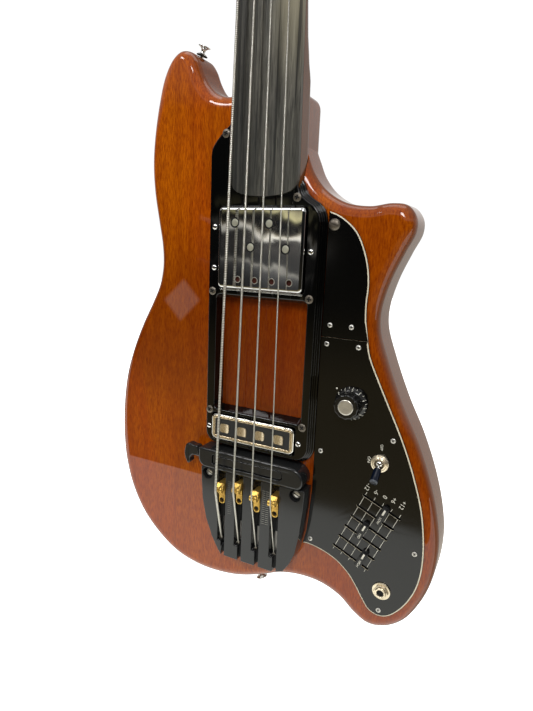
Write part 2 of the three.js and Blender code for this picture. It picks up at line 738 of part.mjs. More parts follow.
function makeVolumeKnob() {
  const flutes = 12;
  const fluted = Array.from({ length: flutes * 2 }, (_, i) => {
    const angle = (Math.PI * i) / flutes;
    const r = i % 2 ? 10.2 : 10.9;
    return [r * Math.cos(angle), r * Math.sin(angle)];
  });
  const grip = slab(fluted, [[-6.6, 0.9], [-5.8, 0], [4.6, -0.6]]);
  const foot = PLATE_FACE - GAP;
  const skirt = turned([[0, 3.6], [11.2, 3.6], [13.2, 5], [14.5, 7.4], [14.5, foot], [0, foot]], 28);
  const cap = cylinder(6.6, -7.4, -5, 20);
  return at(cut(join(grip, skirt, cap), cylinder(3.3, -2.5, 12)), KNOB.x, 0, KNOB.z);
}

function makeVolumePot() {
  const can = cylinder(12, 13, 23);
  const bushing = cylinder(4.6, PLATE_FACE, 14);
  const shaft = cylinder(3, -2.2, 12);
  return at(join(can, bushing, shaft), KNOB.x, 0, KNOB.z);
}

function makeToggleBushing() {
  const foot = PLATE_FACE - GAP;
  const profile = [[3.9, 4.4], [5, 4.4], [5, 5.6], [7.8, 6], [7.8, foot], [5, foot], [5, 13], [3.9, 13]];
  return at(turnedRing(profile, 20), TOGGLE.x, 0, TOGGLE.z);
}

function makeToggleLever() {
  const profile = [
    [0, -19.6], [2.2, -19.2], [3.3, -17.8], [3.3, -7], [2.6, -5.6], [1.4, -5], [1.4, 0.4], [2.2, 1.2],
    [2.2, 2.6], [0, 3.6],
  ];
  return turned(profile, 12).rotateX(rad(TOGGLE.lean)).translate(TOGGLE.x, TOGGLE.pivotY, TOGGLE.z);
}

function makeToggleBody() {
  return at(block(-6.5, 6.5, 13.3, 25, -6.5, 6.5), TOGGLE.x, 0, TOGGLE.z);
}

function makeSlider(index) {
  const z = (1 - index) * 2 * EQ.pitch;
  const reach = EQ.pitch / 2;
  const cap = slab(roundedBox(-3, 3, z - reach - 3, z + reach + 3, 1, 2),
    [[PLATE_FACE - 3, 0.6], [PLATE_FACE - 2.4, 0], [PLATE_FACE - GAP, 0]]);
  const tab = slab(roundedBox(-1.8, 1.8, z + reach - 3, z + reach + 3, 0.6, 2),
    [[PLATE_FACE - 6.2, 0.5], [PLATE_FACE - 5.6, 0], [PLATE_FACE - 2.5, -0.4]]);
  const stems = [-1, 1].map((side) => {
    const middle = z + side * reach;
    return block(-1.6, 1.6, PLATE_FACE - 1, 13, middle - 0.7, middle + 0.7);
  });
  return placeEq(join(cap, tab, ...stems).translate(SLIDER_REST[index], 0, 0));
}

function makeSliderBank() {
  const height = 6 * EQ.pitch - 3;
  return placeEq(block(-26, 26, 13.4, 22, -height / 2, height / 2));
}

function makeJackSocket() {
  const profile = [[JACK.bore, 3.9], [4.7, 3.9], [4.7, 12], [8, 12], [8, 34], [JACK.bore, 34]];
  return at(turnedRing(profile), JACK.x, 0, JACK.z);
}

function makeJackNut() {
  const nut = slab(circle(0, 0, 6.8, 6), [[5.6, 0.4], [6, 0], [8, 0]]);
  const washer = cylinder(8, 7.6, PLATE_FACE - GAP, 20);
  return at(cut(join(nut, washer), cylinder(5, 4, 10)), JACK.x, 0, JACK.z);
}

function makePreampBoard() {
  return block(68, 106, 24, 30, 64, 100);
}

function makeBattery() {
  return slab(roundedBox(67, 93.5, -25, 23, 2), [[36.8, 0.5], [37.3, 0], [53.5, 0]]);
}

function makeBatteryLid() {
  return slab(roundedBox(60.3, 101.7, -41.7, 31.7, 4.7), [[55, 0], [BODY_BACK - 0.6, 0], [BODY_BACK, 0.6]]);
}

// ---- strap buttons ------------------------------------------------------------------------------

const UPPER_BUTTON = { x: -87.2, z: 396, tilt: 20 };
const LOWER_BUTTON = { x: -5, z: -104.9, tilt: 160 };

function placeButton(geometry, { x, z, tilt }) {
  return geometry.rotateY(rad(tilt)).translate(x, BODY_MIDDLE, z);
}

function strapScrewHoles() {
  return [UPPER_BUTTON, LOWER_BUTTON].map((button) => placeButton(alongZ(cylinder(2.3, -24, 6, 12)), button));
}

function makeStrapButton(button) {
  const profile = [[0, -22], [2, -20], [2, 0.8], [4.2, 0.8], [4.2, 2], [2.2, 2.6], [1.9, 4.8], [3.4, 7],
    [5.6, 8], [5.8, 8.8], [0, 8.8]];
  return placeButton(alongZ(turned(profile)), button);
}

// ---- assembly -----------------------------------------------------------------------------------

part('body', makeBody(), MAHOGANY);
part('neck', makeNeck(), MAHOGANY);
part('fingerboard', makeFingerboard(), EBONY);
part('nut', makeNut(), BONE);
part('truss_rod', makeTrussRod(), STEEL);
part('headstock_overlay', makeHeadOverlay(), BLACK_GLOSS, head);
part('truss_rod_cover', makeTrussRodCover(), BLACK_GLOSS, head);
addTuners();
addStrings();
part('bridge_block', makeBridgeBlock(), BLACK_GLOSS);
part('mute_housing', makeMuteHousing(), BLACK_GLOSS);
part('mute_lever', makeMuteLever(), BLACK_GLOSS);
part('mute_pad', makeMutePad(), FELT);
STRINGS.forEach(({ name }, i) => part(`saddle_${name}`, makeSaddle(i), BRASS));
part('bridge_bolt_bass', at(makeBridgeBolt(), -46.5, 0, BOLT_Z), CHROME);
part('bridge_bolt_treble', at(makeBridgeBolt(), 46.5, 0, BOLT_Z), CHROME);
part('pickup_frame', makePickupFrame(), BLACK_GLOSS);
part('neck_pickup_cover', makeNeckPickupCover(), CHROME);
part('neck_pickup_coil', makeNeckPickupCoil(), COPPER);
part('bridge_pickup_bezel', makeBridgePickupBezel(), CHROME);
part('bridge_pickup_insert', makeBridgePickupInsert(), BLACK_PLASTIC);
part('bridge_pickup_coil', makeBridgePickupCoil(), COPPER);
part('upper_pickguard', makeUpperGuard(), BLACK_GLOSS);
part('pickguard_screw', makeGuardScrew(), CHROME);
part('control_plate', makeControlPlate(), BLACK_GLOSS);
part('volume_knob', makeVolumeKnob(), BLACK_PLASTIC);
part('volume_pot', makeVolumePot(), STEEL);
part('toggle_bushing', makeToggleBushing(), CHROME);
part('toggle_lever', makeToggleLever(), BLUE_PLASTIC);
part('toggle_switch_body', makeToggleBody(), BLACK_PLASTIC);
['low', 'mid', 'high'].forEach((band, i) => part(`eq_slider_${band}`, makeSlider(i), BLACK_PLASTIC));
part('slider_pot_bank', makeSliderBank(), STEEL);
part('jack_socket', makeJackSocket(), CHROME);
part('jack_nut', makeJackNut(), CHROME);
part('preamp_board', makePreampBoard(), BOARD_GREEN);
part('battery', makeBattery(), ALUMINIUM);
part('battery_lid', makeBatteryLid(), BLACK_PLASTIC);
part('strap_button_upper', makeStrapButton(UPPER_BUTTON), CHROME);
part('strap_button_lower', makeStrapButton(LOWER_BUTTON), CHROME);

const bass = new THREE.Group();
bass.add(instrument);

export default bass;
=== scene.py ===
"""A fretless four-string electric bass guitar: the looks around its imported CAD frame.

Shapes are written in millimetres in the instrument's own frame, where the saddles are at z = 0.
The piece() function moves them into the row's frame, in metres, whose origin is the neck hanger.
"""

import math
import random

import bmesh
import bpy
from mathutils import Matrix, Vector, geometry


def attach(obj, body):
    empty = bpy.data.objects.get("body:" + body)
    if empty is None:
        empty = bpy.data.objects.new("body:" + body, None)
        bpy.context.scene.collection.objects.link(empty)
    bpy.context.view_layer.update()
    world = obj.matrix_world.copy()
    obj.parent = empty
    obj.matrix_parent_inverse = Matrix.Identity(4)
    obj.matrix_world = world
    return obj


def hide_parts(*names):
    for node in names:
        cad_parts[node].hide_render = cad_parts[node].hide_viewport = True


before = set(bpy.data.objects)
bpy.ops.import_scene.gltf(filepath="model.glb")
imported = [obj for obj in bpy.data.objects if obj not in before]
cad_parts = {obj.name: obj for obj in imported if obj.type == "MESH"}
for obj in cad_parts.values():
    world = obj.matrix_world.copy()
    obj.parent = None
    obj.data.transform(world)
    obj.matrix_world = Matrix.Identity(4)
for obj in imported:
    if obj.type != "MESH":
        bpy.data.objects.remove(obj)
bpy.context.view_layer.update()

MM = 0.001
HANGER_HEIGHT = 882
FLOOR_Z = -330
GAP = 0.3

STRING_Y_SADDLE = -14.25
STRING_Y_NUT = -6.2
BOARD_TOP = -3.35
BOARD_BACK = 3.2
NECK_FACE = 3.5
HEEL_BACK = 21.4
BODY_FACE = 11.5
BODY_BACK = 57.5
BODY_MIDDLE = 34
BODY_FRONT_ROUND = 11
BODY_BACK_ROUND = 9
COVER_BACK = 11.2
PLATE_FACE = 8.9
BRIDGE_FACE = -6
SLOT_FLOOR = 4
SCALE_LENGTH = 863.6
NUT_THICKNESS = 6
NECK_END = 275
HEEL_TOP = 356

FRAME_SCREWS = ((-38, 320), (31.6, 267), (-48.7, 184.3), (47.2, 184), (-49.2, 70.7), (47.4, 70.4))
HEIGHT_SCREWS = ((-47.3, 241.6), (-47.3, 205.6), (46.3, 223.3), (-49.3, 54.4), (44.4, 54.4))
COVER_BOX = (-41.5, 41.5, 188.1, 258.9)
COVER_POLES = ((-24.5, 245.5), (8.8, 245.2), (-8.5, 225), (25, 224.5))
COVER_WELLS = ((-20.1, 196.7), (-3.2, 196.7), (13.3, 196.7), (29.8, 196.7))
PLATE_SCREWS = ((64, 163), (83, 163), (62.2, 146.6), (90.4, 146.6), (126.2, 71.7), (62.9, 49.4),
                (58.2, -38.3), (152.9, -24.3), (126.9, -87.9))
THUMBSCREW = (62.4, 246)

BOARD_WIDE_Z = 300
BOARD_HALF_WIDE = 31.4
BOARD_HALF_AT_NUT = 20.65
BOARD_CROWN = 290

STRINGS = (("e", 1.3), ("a", 1.05), ("d", 0.8), ("g", 0.6))
STRING_MIDDLE_X = -2.6
SPACING_AT_BRIDGE = 19.33
SPACING_AT_NUT = 10.3
SADDLE_Z = (-4, 0, -3, -3)
SADDLE_RADIUS = 3.1
SLOT_FIRST_X = -30
SLOT_SPACING = 18.97
ANCHOR_Y = -1.2
ANCHOR_Z = -58

KNOB = (87.8, 98)
TOGGLE = (117, 50)
TOGGLE_PIVOT_Y = 6.6
TOGGLE_LEAN = 35
JACK = (128, -68)
EQ_CENTRE = (109.5, -17)
EQ_TURN = 23.5
EQ_PITCH = 11.95
EQ_LENGTH = 37.5
SLIDER_REST = (4.1, -3, 9)

HEAD_TILT = 9
HEAD_THICKNESS = 15
HEAD_POSTS = ((-23, 48), (-25, 116), (25, 116), (23, 48))
KEY_DEPTH = 21.6
MUTE_AXIS = (0.5, 23.75)
TICK_COUNT = 17
TICK_TOP = 4.5
TICK_PITCH = 2.05
BOLT_X = 46.5
BOLT_Z = 7.4
BOLT_TURN = 25
BRIDGE_TOP = 13.7
BRIDGE_FOOT = -75
SLOT_HALF = 4
SLOT_NECK_Z = -60

BODY_OUTLINE = (
    (-97, 397.5), (-107, 392), (-117, 377), (-124.5, 351), (-129.6, 321), (-131, 298), (-129, 272),
    (-124, 245), (-119.8, 222), (-119.2, 203), (-123, 185), (-131.5, 167), (-144, 144), (-157, 115),
    (-166.5, 85), (-171.5, 50), (-172, 15), (-169, -12), (-160, -42), (-144.5, -69), (-122, -91),
    (-98, -105.5), (-72, -112.2), (-46, -112.8), (-20, -108.8), (6, -99.5), (27, -90), (50, -85.6),
    (70, -86.8), (87, -93.3), (102, -105), (116, -111.6), (131, -109.2), (147, -97.8), (160, -76),
    (168.2, -50), (170.4, -20), (166.8, 6), (158, 37), (145, 69), (128, 102), (113, 137),
    (104.6, 162), (104.2, 179), (110, 203), (119.5, 226), (126.6, 242), (126.2, 253),
    (118.5, 262.5), (106, 264.4), (88, 262), (67, 264.7), (49.4, 274.3), (37.5, 288), (30.5, 303),
    (22, 320), (0, 340), (-22, 352), (-40, 354.6), (-51, 355.4), (-61, 359), (-69.5, 366.5),
    (-75.5, 376), (-80.5, 387), (-87, 394.8),
)
PLATE_OUTLINE = (
    (57, 152.2), (57, 10), (54, -30), (51, -44.6), (58, -44.8), (70, -47), (84.4, -52.8),
    (96.5, -62.5), (104.4, -72.8), (111, -83), (117.5, -91), (126.7, -94), (134.8, -91.7),
    (143, -84.2), (151.3, -71.7), (157.2, -57), (160, -41.7), (160.4, -24), (158.7, -5),
    (154.9, 16), (148.4, 37.2), (140, 59.4), (130.4, 80.5), (120.7, 99.4), (110, 120.5),
    (101, 139.6), (97.8, 152.2),
)
GUARD_OUTLINE = (
    (57.2, 256.8), (57.2, 152.8), (97.8, 152.8), (95, 169), (94.4, 183), (95, 198), (93.3, 213),
    (88, 229.5), (81, 241.8), (71, 250.6), (63, 255),
)
HEAD_OUTLINE = (
    (-20.7, 0), (20.7, 0), (24, 12), (33, 26), (40, 40), (42.5, 56), (41.5, 84), (41.5, 110),
    (42, 128), (38, 148), (29, 163), (15, 172), (0, 175), (-15, 172), (-29, 163), (-38, 148),
    (-42, 128), (-41.5, 110), (-41.5, 84), (-42.5, 56), (-40, 40), (-33, 26), (-24, 12),
)


# ---- outlines ------------------------------------------------------------------------------------

def spline(points, closed, step):
    """Centripetal Catmull-Rom through the points, sampled about every step millimetres."""
    knots = [Vector(p) for p in points]
    count = len(knots)
    out = []
    for i in range(count if closed else count - 1):
        if closed:
            a, b, c, d = (knots[(i + k - 1) % count] for k in range(4))
        else:
            b, c = knots[i], knots[i + 1]
            a = knots[i - 1] if i else b * 2 - c
            d = knots[i + 2] if i + 2 < count else c * 2 - b
        t1 = math.sqrt((b - a).length)
        t2 = t1 + math.sqrt((c - b).length)
        t3 = t2 + math.sqrt((d - c).length)
        pieces = max(1, round((c - b).length / step))
        for k in range(pieces):
            t = t1 + (t2 - t1) * k / pieces
            ab = a * ((t1 - t) / t1) + b * (t / t1)
            bc = b * ((t2 - t) / (t2 - t1)) + c * ((t - t1) / (t2 - t1))
            cd = c * ((t3 - t) / (t3 - t2)) + d * ((t - t2) / (t3 - t2))
            abc = ab * ((t2 - t) / t2) + bc * (t / t2)
            bcd = bc * ((t3 - t) / (t3 - t1)) + cd * ((t - t1) / (t3 - t1))
            out.append(tuple(abc * ((t2 - t) / (t2 - t1)) + bcd * ((t - t1) / (t2 - t1))))
    if not closed:
        out.append(tuple(knots[-1]))
    return out


def arc(x, z, r, start, end, steps):
    angles = [math.radians(start + (end - start) * i / steps) for i in range(steps + 1)]
    return [(x + r * math.cos(a), z + r * math.sin(a)) for a in angles]


def circle(x, z, r, sides=48):
    return arc(x, z, r, 0, 360, sides)[:-1]


def rounded(points, radii, steps=8):
    """A polygon with each corner rounded; radii is one number or one for each corner."""
    count = len(points)
    if isinstance(radii, (int, float)):
        radii = [radii] * count
    out = []
    for i, (point, radius) in enumerate(zip(points, radii)):
        corner = Vector(point)
        before = (Vector(points[i - 1]) - corner).normalized()
        after = (Vector(points[(i + 1) % count]) - corner).normalized()
        if radius <= 0:
            out.append(tuple(corner))
            continue
        half = before.angle(after) / 2
        reach = radius / math.tan(half)
        centre = corner + (before + after).normalized() * (radius / math.sin(half))
        start = corner + before * reach - centre
        turn = start.angle_signed(corner + after * reach - centre)
        for k in range(steps + 1):
            angle = -turn * k / steps
            cos, sin = math.cos(angle), math.sin(angle)
            out.append((centre.x + start.x * cos - start.y * sin,
                        centre.y + start.x * sin + start.y * cos))
    return out


def box(x0, x1, z0, z1):
    return [(x0, z0), (x1, z0), (x1, z1), (x0, z1)]


def rounded_box(x0, x1, z0, z1, r, steps=8):
    return rounded(box(x0, x1, z0, z1), r, steps)


def area(loop):
    return sum(a[0] * b[1] - b[0] * a[1] for a, b in zip(loop, loop[1:] + loop[:1])) / 2


def inset(loop, distance):
    """Moves every corner to its left, which is into the material."""
    out = []
    for i, point in enumerate(loop):
        here = Vector(point)
        before = here - Vector(loop[i - 1])
        after = Vector(loop[(i + 1) % len(loop)]) - here
        n1 = Vector((-before.y, before.x)).normalized()
        n2 = Vector((-after.y, after.x)).normalized()
        out.append(tuple(here + (n1 + n2) * (distance / max(0.3, 1 + n1.dot(n2)))))
    return out


# ---- shapes: (vertices, faces) in millimetres ----------------------------------------------------

def pulled(loop, distance, weights):
    """Insets a loop by a share of the distance at each corner."""
    if weights is None:
        return inset(loop, distance)
    unit = inset(loop, 1)
    return [(x + (ux - x) * distance * w, z + (uz - z) * distance * w)
            for (x, z), (ux, uz), w in zip(loop, unit, weights)]


def slab(outline, levels, holes=(), weights=None):
    """Stacks copies of an outline. A level is (y, inset[, inset of the holes]), front to back."""
    loops = []
    for i, loop in enumerate([outline, *holes]):
        loop = list(loop)
        loops.append(loop if (area(loop) > 0) == (i == 0) else loop[::-1])
    size = sum(len(loop) for loop in loops)
    verts = []
    for level in levels:
        y, pull = level[:2]
        hole_pull = level[2] if len(level) > 2 else 0
        for i, loop in enumerate(loops):
            shrunk = inset(loop, hole_pull) if i else pulled(loop, pull, weights)
            verts += [(x, y, z) for x, z in shrunk]
    faces = []
    for row in range(len(levels) - 1):
        start = row * size
        for loop in loops:
            for i in range(len(loop)):
                a = start + i
                b = start + (i + 1) % len(loop)
                faces.append((a, a + size, b + size, b))
            start += len(loop)
    last = (len(levels) - 1) * size
    if len(loops) == 1:
        faces.append(tuple(range(size)))
        faces.append(tuple(range(last + size - 1, last - 1, -1)))
        return verts, faces
    for offset, flip in ((0, False), (last, True)):
        rings = []
        start = offset
        for loop in loops:
            rings.append([Vector((verts[k][0], verts[k][2], 0)) for k in range(start, start + len(loop))])
            start += len(loop)
        points = [point for ring in rings for point in ring]
        for tri in geometry.tessellate_polygon(rings):
            corners = [points[k] for k in tri]
            facing = (corners[1] - corners[0]).cross(corners[2] - corners[0]).z > 0
            ordered = tri if facing != flip else tri[::-1]
            faces.append(tuple(offset + k for k in ordered))
    return verts, faces


def loft(rings, closed=False):
    """Joins rings of equal count into a skin; closed joins the last ring to the first."""
    size = len(rings[0])
    verts = [p for ring in rings for p in ring]
    faces = []
    rows = len(rings) if closed else len(rings) - 1
    for row in range(rows):
        for i in range(size):
            a = row * size + i
            b = row * size + (i + 1) % size
            up = ((row + 1) % len(rings)) * size - row * size
            faces.append((a, b, b + up, a + up))
    if not closed:
        last = (len(rings) - 1) * size
        faces.append(tuple(range(size - 1, -1, -1)))
        faces.append(tuple(range(last, last + size)))
    return verts, faces


def turned(profile, sides=48, closed=False):
    """A solid of revolution about Y from (radius, y) points; an open end is closed by a flat disc."""
    angles = [2 * math.pi * i / sides for i in range(sides)]
    rings = [[(r * math.cos(a), y, r * math.sin(a)) for a in angles] for r, y in profile]
    return loft(rings, closed)


def turned_ring(profile, sides=48):
    """The same from a closed profile that stays clear of the axis."""
    return turned(profile, sides, closed=True)


def sweep(points, radius, sides=12):
    """A round bar through the points; radius is one number or one for each point."""
    path = [Vector(p) for p in points]
    radii = radius if isinstance(radius, (list, tuple)) else [radius] * len(path)
    side = Vector((1, 0.01, 0.02))
    rings = []
    for i, point in enumerate(path):
        along = (path[min(i + 1, len(path) - 1)] - path[max(i - 1, 0)]).normalized()
        side = (side - along * side.dot(along)).normalized()
        up = along.cross(side)
        ring = []
        for k in range(sides):
            angle = 2 * math.pi * k / sides
            ring.append(tuple(point + (side * math.cos(angle) + up * math.sin(angle)) * radii[i]))
        rings.append(ring)
    return loft(rings)


def moved(shape, x=0, y=0, z=0, matrix=None):
    matrix = Matrix.Translation((x, y, z)) @ (matrix or Matrix())
    return [tuple(matrix @ Vector(v)) for v in shape[0]], shape[1]


def joined(*shapes):
    verts = []
    faces = []
    for shape in shapes:
        start = len(verts)
        verts += shape[0]
        faces += [tuple(start + i for i in face) for face in shape[1]]
    return verts, faces


def rotation(axis, degrees):
    return Matrix.Rotation(math.radians(degrees), 4, axis)


def along_x(shape):
    return moved(shape, matrix=rotation("Z", -90))


def along_z(shape):
    return moved(shape, matrix=rotation("X", 90))


def placed_eq(shape):
    return moved(shape, EQ_CENTRE[0], 0, EQ_CENTRE[1], rotation("Y", EQ_TURN))


HEAD_FRAME = Matrix.Translation((0, NECK_FACE, SCALE_LENGTH + NUT_THICKNESS + 2)) @ rotation("X", -HEAD_TILT)


def round_edge(face, radius, steps, towards_back=1):
    """Levels of a quarter-round edge that starts on the face and ends on the side."""
    out = []
    for i in range(steps + 1):
        angle = math.pi / 2 * i / steps
        out.append((face + towards_back * radius * (1 - math.cos(angle)), radius * (1 - math.sin(angle))))
    return out


def soft_slab(outline, front, back, front_round, back_round, steps=4):
    """A slab with a quarter-round edge at the front and at the back."""
    levels = round_edge(front, front_round, steps)
    levels += round_edge(back, back_round, steps, -1)[::-1]
    return slab(outline, levels)


# ---- pieces --------------------------------------------------------------------------------------

def mesh_object(name, shape, sharp):
    mesh = bpy.data.meshes.new(name)
    verts = [(x * MM, y * MM, (z - HANGER_HEIGHT) * MM) for x, y, z in shape[0]]
    mesh.from_pydata(verts, [], shape[1])
    tidy = bmesh.new()
    tidy.from_mesh(mesh)
    bmesh.ops.remove_doubles(tidy, verts=tidy.verts, dist=1e-7)
    bmesh.ops.recalc_face_normals(tidy, faces=tidy.faces)
    tidy.to_mesh(mesh)
    tidy.free()
    for polygon in mesh.polygons:
        polygon.use_smooth = True
    mesh.set_sharp_from_angle(angle=math.radians(sharp))
    made = bpy.data.objects.new(name, mesh)
    bpy.context.scene.collection.objects.link(made)
    return made


def even_shading(made):
    weighted = made.modifiers.new("even_shading", "WEIGHTED_NORMAL")
    weighted.keep_sharp = True
    weighted.weight = 80


def combined(made, shape, operation, sharp):
    """Applies one boolean to a mesh object."""
    tool = mesh_object(f"{made.name}_tool", shape, sharp)
    step = made.modifiers.new("boolean", "BOOLEAN")
    step.object = tool
    step.operation = operation
    step.solver = "EXACT"
    depsgraph = bpy.context.evaluated_depsgraph_get()
    mesh = bpy.data.meshes.new_from_object(made.evaluated_get(depsgraph))
    made.modifiers.clear()
    made.data = mesh
    bpy.data.objects.remove(tool)


def piece(name, shape, look, body="root", replaces=(), sharp=40, adds=(), cuts=()):
    """Makes a piece, adds shapes to it, cuts shapes out of it, and fixes it to a body of the frame."""
    made = mesh_object(name, shape, sharp)
    for extra in adds:
        combined(made, extra, "UNION", sharp)
    for cutter in cuts:
        combined(made, cutter, "DIFFERENCE", sharp)
    made.data.materials.clear()
    made.data.materials.append(look)
    made.data.name = name
    made.data.set_sharp_from_angle(angle=math.radians(sharp))
    even_shading(made)
    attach(made, body)
    if replaces:
        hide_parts(*replaces)
    return made


def lettering(name, text, size, look, x, y, z, turn=0, body="root", lean=None):
    """Generic numbers and words that face the player, turned anticlockwise by turn degrees."""
    curve = bpy.data.curves.new(name, "FONT")
    curve.body = text
    curve.size = size * MM
    curve.extrude = 0.02 * MM
    curve.align_x = "CENTER"
    curve.align_y = "CENTER"
    curve.materials.append(look)
    made = bpy.data.objects.new(name, curve)
    bpy.context.scene.collection.objects.link(made)
    facing = rotation("X", 90)
    made.matrix_world = (
        Matrix.Translation((x * MM, y * MM, (z - HANGER_HEIGHT) * MM))
        @ rotation("Y", -turn) @ (lean or Matrix()) @ facing
    )
    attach(made, body)
    return made


# ---- materials -----------------------------------------------------------------------------------

def ramped(tree, value, stops):
    """A colour ramp; a stop is a position with a colour or a grey."""
    node = tree.nodes.new("ShaderNodeValToRGB")
    elements = node.color_ramp.elements
    while len(elements) < len(stops):
        elements.new(0.5)
    for element, (position, color) in zip(elements, stops):
        element.position = position
        shade = color if isinstance(color, tuple) else (color, color, color)
        element.color = (*shade, 1)
    tree.links.new(value, node.inputs["Fac"])
    return node.outputs["Color"]


def mixed(tree, factor, a, b, blend="MIX"):
    """A colour mix; the factor and both colours are sockets or plain values."""
    node = tree.nodes.new("ShaderNodeMix")
    node.data_type = "RGBA"
    node.blend_type = blend
    for socket, value in ((node.inputs[0], factor), (node.inputs[6], a), (node.inputs[7], b)):
        if isinstance(value, bpy.types.NodeSocket):
            tree.links.new(value, socket)
        elif isinstance(value, tuple):
            socket.default_value = (*value, 1)
        else:
            socket.default_value = value
    return node.outputs[2]


class Look:
    """A Principled material and short ways to add procedural nodes to it."""

    def __init__(self, name, color, roughness, metallic=0, coat=0, coat_roughness=0.03, specular=0.5):
        self.material = bpy.data.materials.new(name)
        self.material.use_nodes = True
        self.tree = self.material.node_tree
        self.shader = self.tree.nodes["Principled BSDF"]
        self.shader.inputs["Base Color"].default_value = (*color, 1)
        self.shader.inputs["Roughness"].default_value = roughness
        self.shader.inputs["Metallic"].default_value = metallic
        self.shader.inputs["Coat Weight"].default_value = coat
        self.shader.inputs["Coat Roughness"].default_value = coat_roughness
        self.shader.inputs["Specular IOR Level"].default_value = specular
        self.coordinates = self.tree.nodes.new("ShaderNodeTexCoord").outputs["Object"]

    def link(self, a, b):
        self.tree.links.new(a, b)

    def stretched(self, scale):
        node = self.tree.nodes.new("ShaderNodeMapping")
        node.inputs["Scale"].default_value = scale
        self.link(self.coordinates, node.inputs["Vector"])
        return node.outputs["Vector"]

    def noise(self, scale, detail=4, roughness=0.55, stretch=(1, 1, 1), distortion=0.0):
        node = self.tree.nodes.new("ShaderNodeTexNoise")
        node.inputs["Scale"].default_value = scale
        node.inputs["Detail"].default_value = detail
        node.inputs["Roughness"].default_value = roughness
        node.inputs["Distortion"].default_value = distortion
        self.link(self.stretched(stretch), node.inputs["Vector"])
        return node.outputs["Fac"]

    def ramp(self, value, *stops):
        return ramped(self.tree, value, stops)

    def mix(self, factor, a, b):
        return mixed(self.tree, factor, a, b)

    def spread(self, value, low, high):
        """Maps a 0 to 1 value onto low to high."""
        node = self.tree.nodes.new("ShaderNodeMapRange")
        node.inputs["From Min"].default_value = 0.3
        node.inputs["From Max"].default_value = 0.7
        node.inputs["To Min"].default_value = low
        node.inputs["To Max"].default_value = high
        self.link(value, node.inputs["Value"])
        return node.outputs["Result"]

    def place(self, axis, start, end):
        """0 to 1 between two places of the instrument, in mm, along one axis."""
        split = self.tree.nodes.new("ShaderNodeSeparateXYZ")
        self.link(self.coordinates, split.inputs[0])
        shift = -HANGER_HEIGHT if axis == "Z" else 0
        node = self.tree.nodes.new("ShaderNodeMapRange")
        node.interpolation_type = "SMOOTHSTEP"
        node.inputs["From Min"].default_value = (start + shift) * MM
        node.inputs["From Max"].default_value = (end + shift) * MM
        self.link(split.outputs[axis], node.inputs["Value"])
        return node.outputs["Result"]

    def side(self):
        """1 on faces that look sideways, 0 on the front and the back."""
        split = self.tree.nodes.new("ShaderNodeSeparateXYZ")
        self.link(self.tree.nodes.new("ShaderNodeNewGeometry").outputs["Normal"], split.inputs[0])
        square = self.times(split.outputs["Y"], split.outputs["Y"])
        return self.ramp(square, (0.1, 1.0), (0.75, 0.0))

    def times(self, *values):
        """The product of several values."""
        total = values[0]
        for value in values[1:]:
            node = self.tree.nodes.new("ShaderNodeMath")
            node.operation = "MULTIPLY"
            for socket, factor in zip(node.inputs, (total, value)):
                if isinstance(factor, bpy.types.NodeSocket):
                    self.link(factor, socket)
                else:
                    socket.default_value = factor
            total = node.outputs[0]
        return total

    def bump(self, height, strength, distance):
        node = self.tree.nodes.new("ShaderNodeBump")
        node.inputs["Strength"].default_value = strength
        node.inputs["Distance"].default_value = distance * MM
        self.link(height, node.inputs["Height"])
        self.link(node.outputs["Normal"], self.shader.inputs["Normal"])

    def set(self, name, socket):
        self.link(socket, self.shader.inputs[name])


def mahogany(name, light, dark, coat, coat_roughness, shaded=False):
    """Fine straight fibres in golden and brown bands. Painted shade makes the body darker low down and by the
    pickups, and every piece darker on its sides.
    """
    look = Look(name, light, 0.42, coat=coat, coat_roughness=coat_roughness, specular=0)
    figure = look.noise(15, 3, 0.55, (1, 1, 0.3), 0.8)
    bands = look.noise(90, 4, 0.6, (1, 1, 0.07), 0.4)
    fibre = look.noise(860, 5, 0.75, (1, 1, 0.14))
    flecks = look.noise(300, 3, 0.6, (1, 1, 0.3), 0.5)
    golden = (light[0] * 1.03, light[1] * 1.36, light[2] * 0.6)
    base = look.mix(look.ramp(figure, (0.34, 0.0), (0.62, 1.0)), light, golden)
    base = look.mix(look.ramp(bands, (0.34, 0.42), (0.56, 0.0)), base, dark)
    base = look.mix(look.ramp(flecks, (0.36, 0.22), (0.52, 0.0)), base, dark)
    base = look.mix(look.ramp(fibre, (0.34, 0.95), (0.56, 0.0)), base, dark)
    base = look.mix(look.ramp(fibre, (0.58, 0.0), (0.74, 0.35)), base, tuple(c * 1.25 for c in golden))
    # Painted shade on the body: darker low down, below and between the pickups, and on the treble side.
    if shaded:
        brown = tuple(c * 0.62 for c in dark)
        red = (0.10, 0.009, 0.001)
        low = look.times(look.place("Z", 300, 120), 0.34)
        base = look.mix(low, base, brown)
        middle = look.times(look.place("Z", 260, 170), look.place("Z", 50, 110),
                            look.place("X", 40, 20), 0.34)
        base = look.mix(middle, base, red)
        treble = look.times(look.place("X", 48, 70), 0.26)
        base = look.mix(treble, base, brown)
        # Painted shade on the wood inside the pickup window.
        window = look.times(look.place("X", -48, -42), look.place("X", 48, 42), look.place("Z", 66, 74), 0.40,
                            look.place("Z", 190, 180), look.place("Y", 24, 14))
        base = look.mix(window, base, red)
    # Painted shade: faces that look sideways are darker.
    base = look.mix(look.times(look.side(), 0.7), base, (0.13, 0.040, 0.010))
    look.set("Base Color", base)
    look.set("Roughness", look.spread(fibre, 0.36, 0.5))
    look.bump(fibre, 0.03, 0.04)
    return look.material


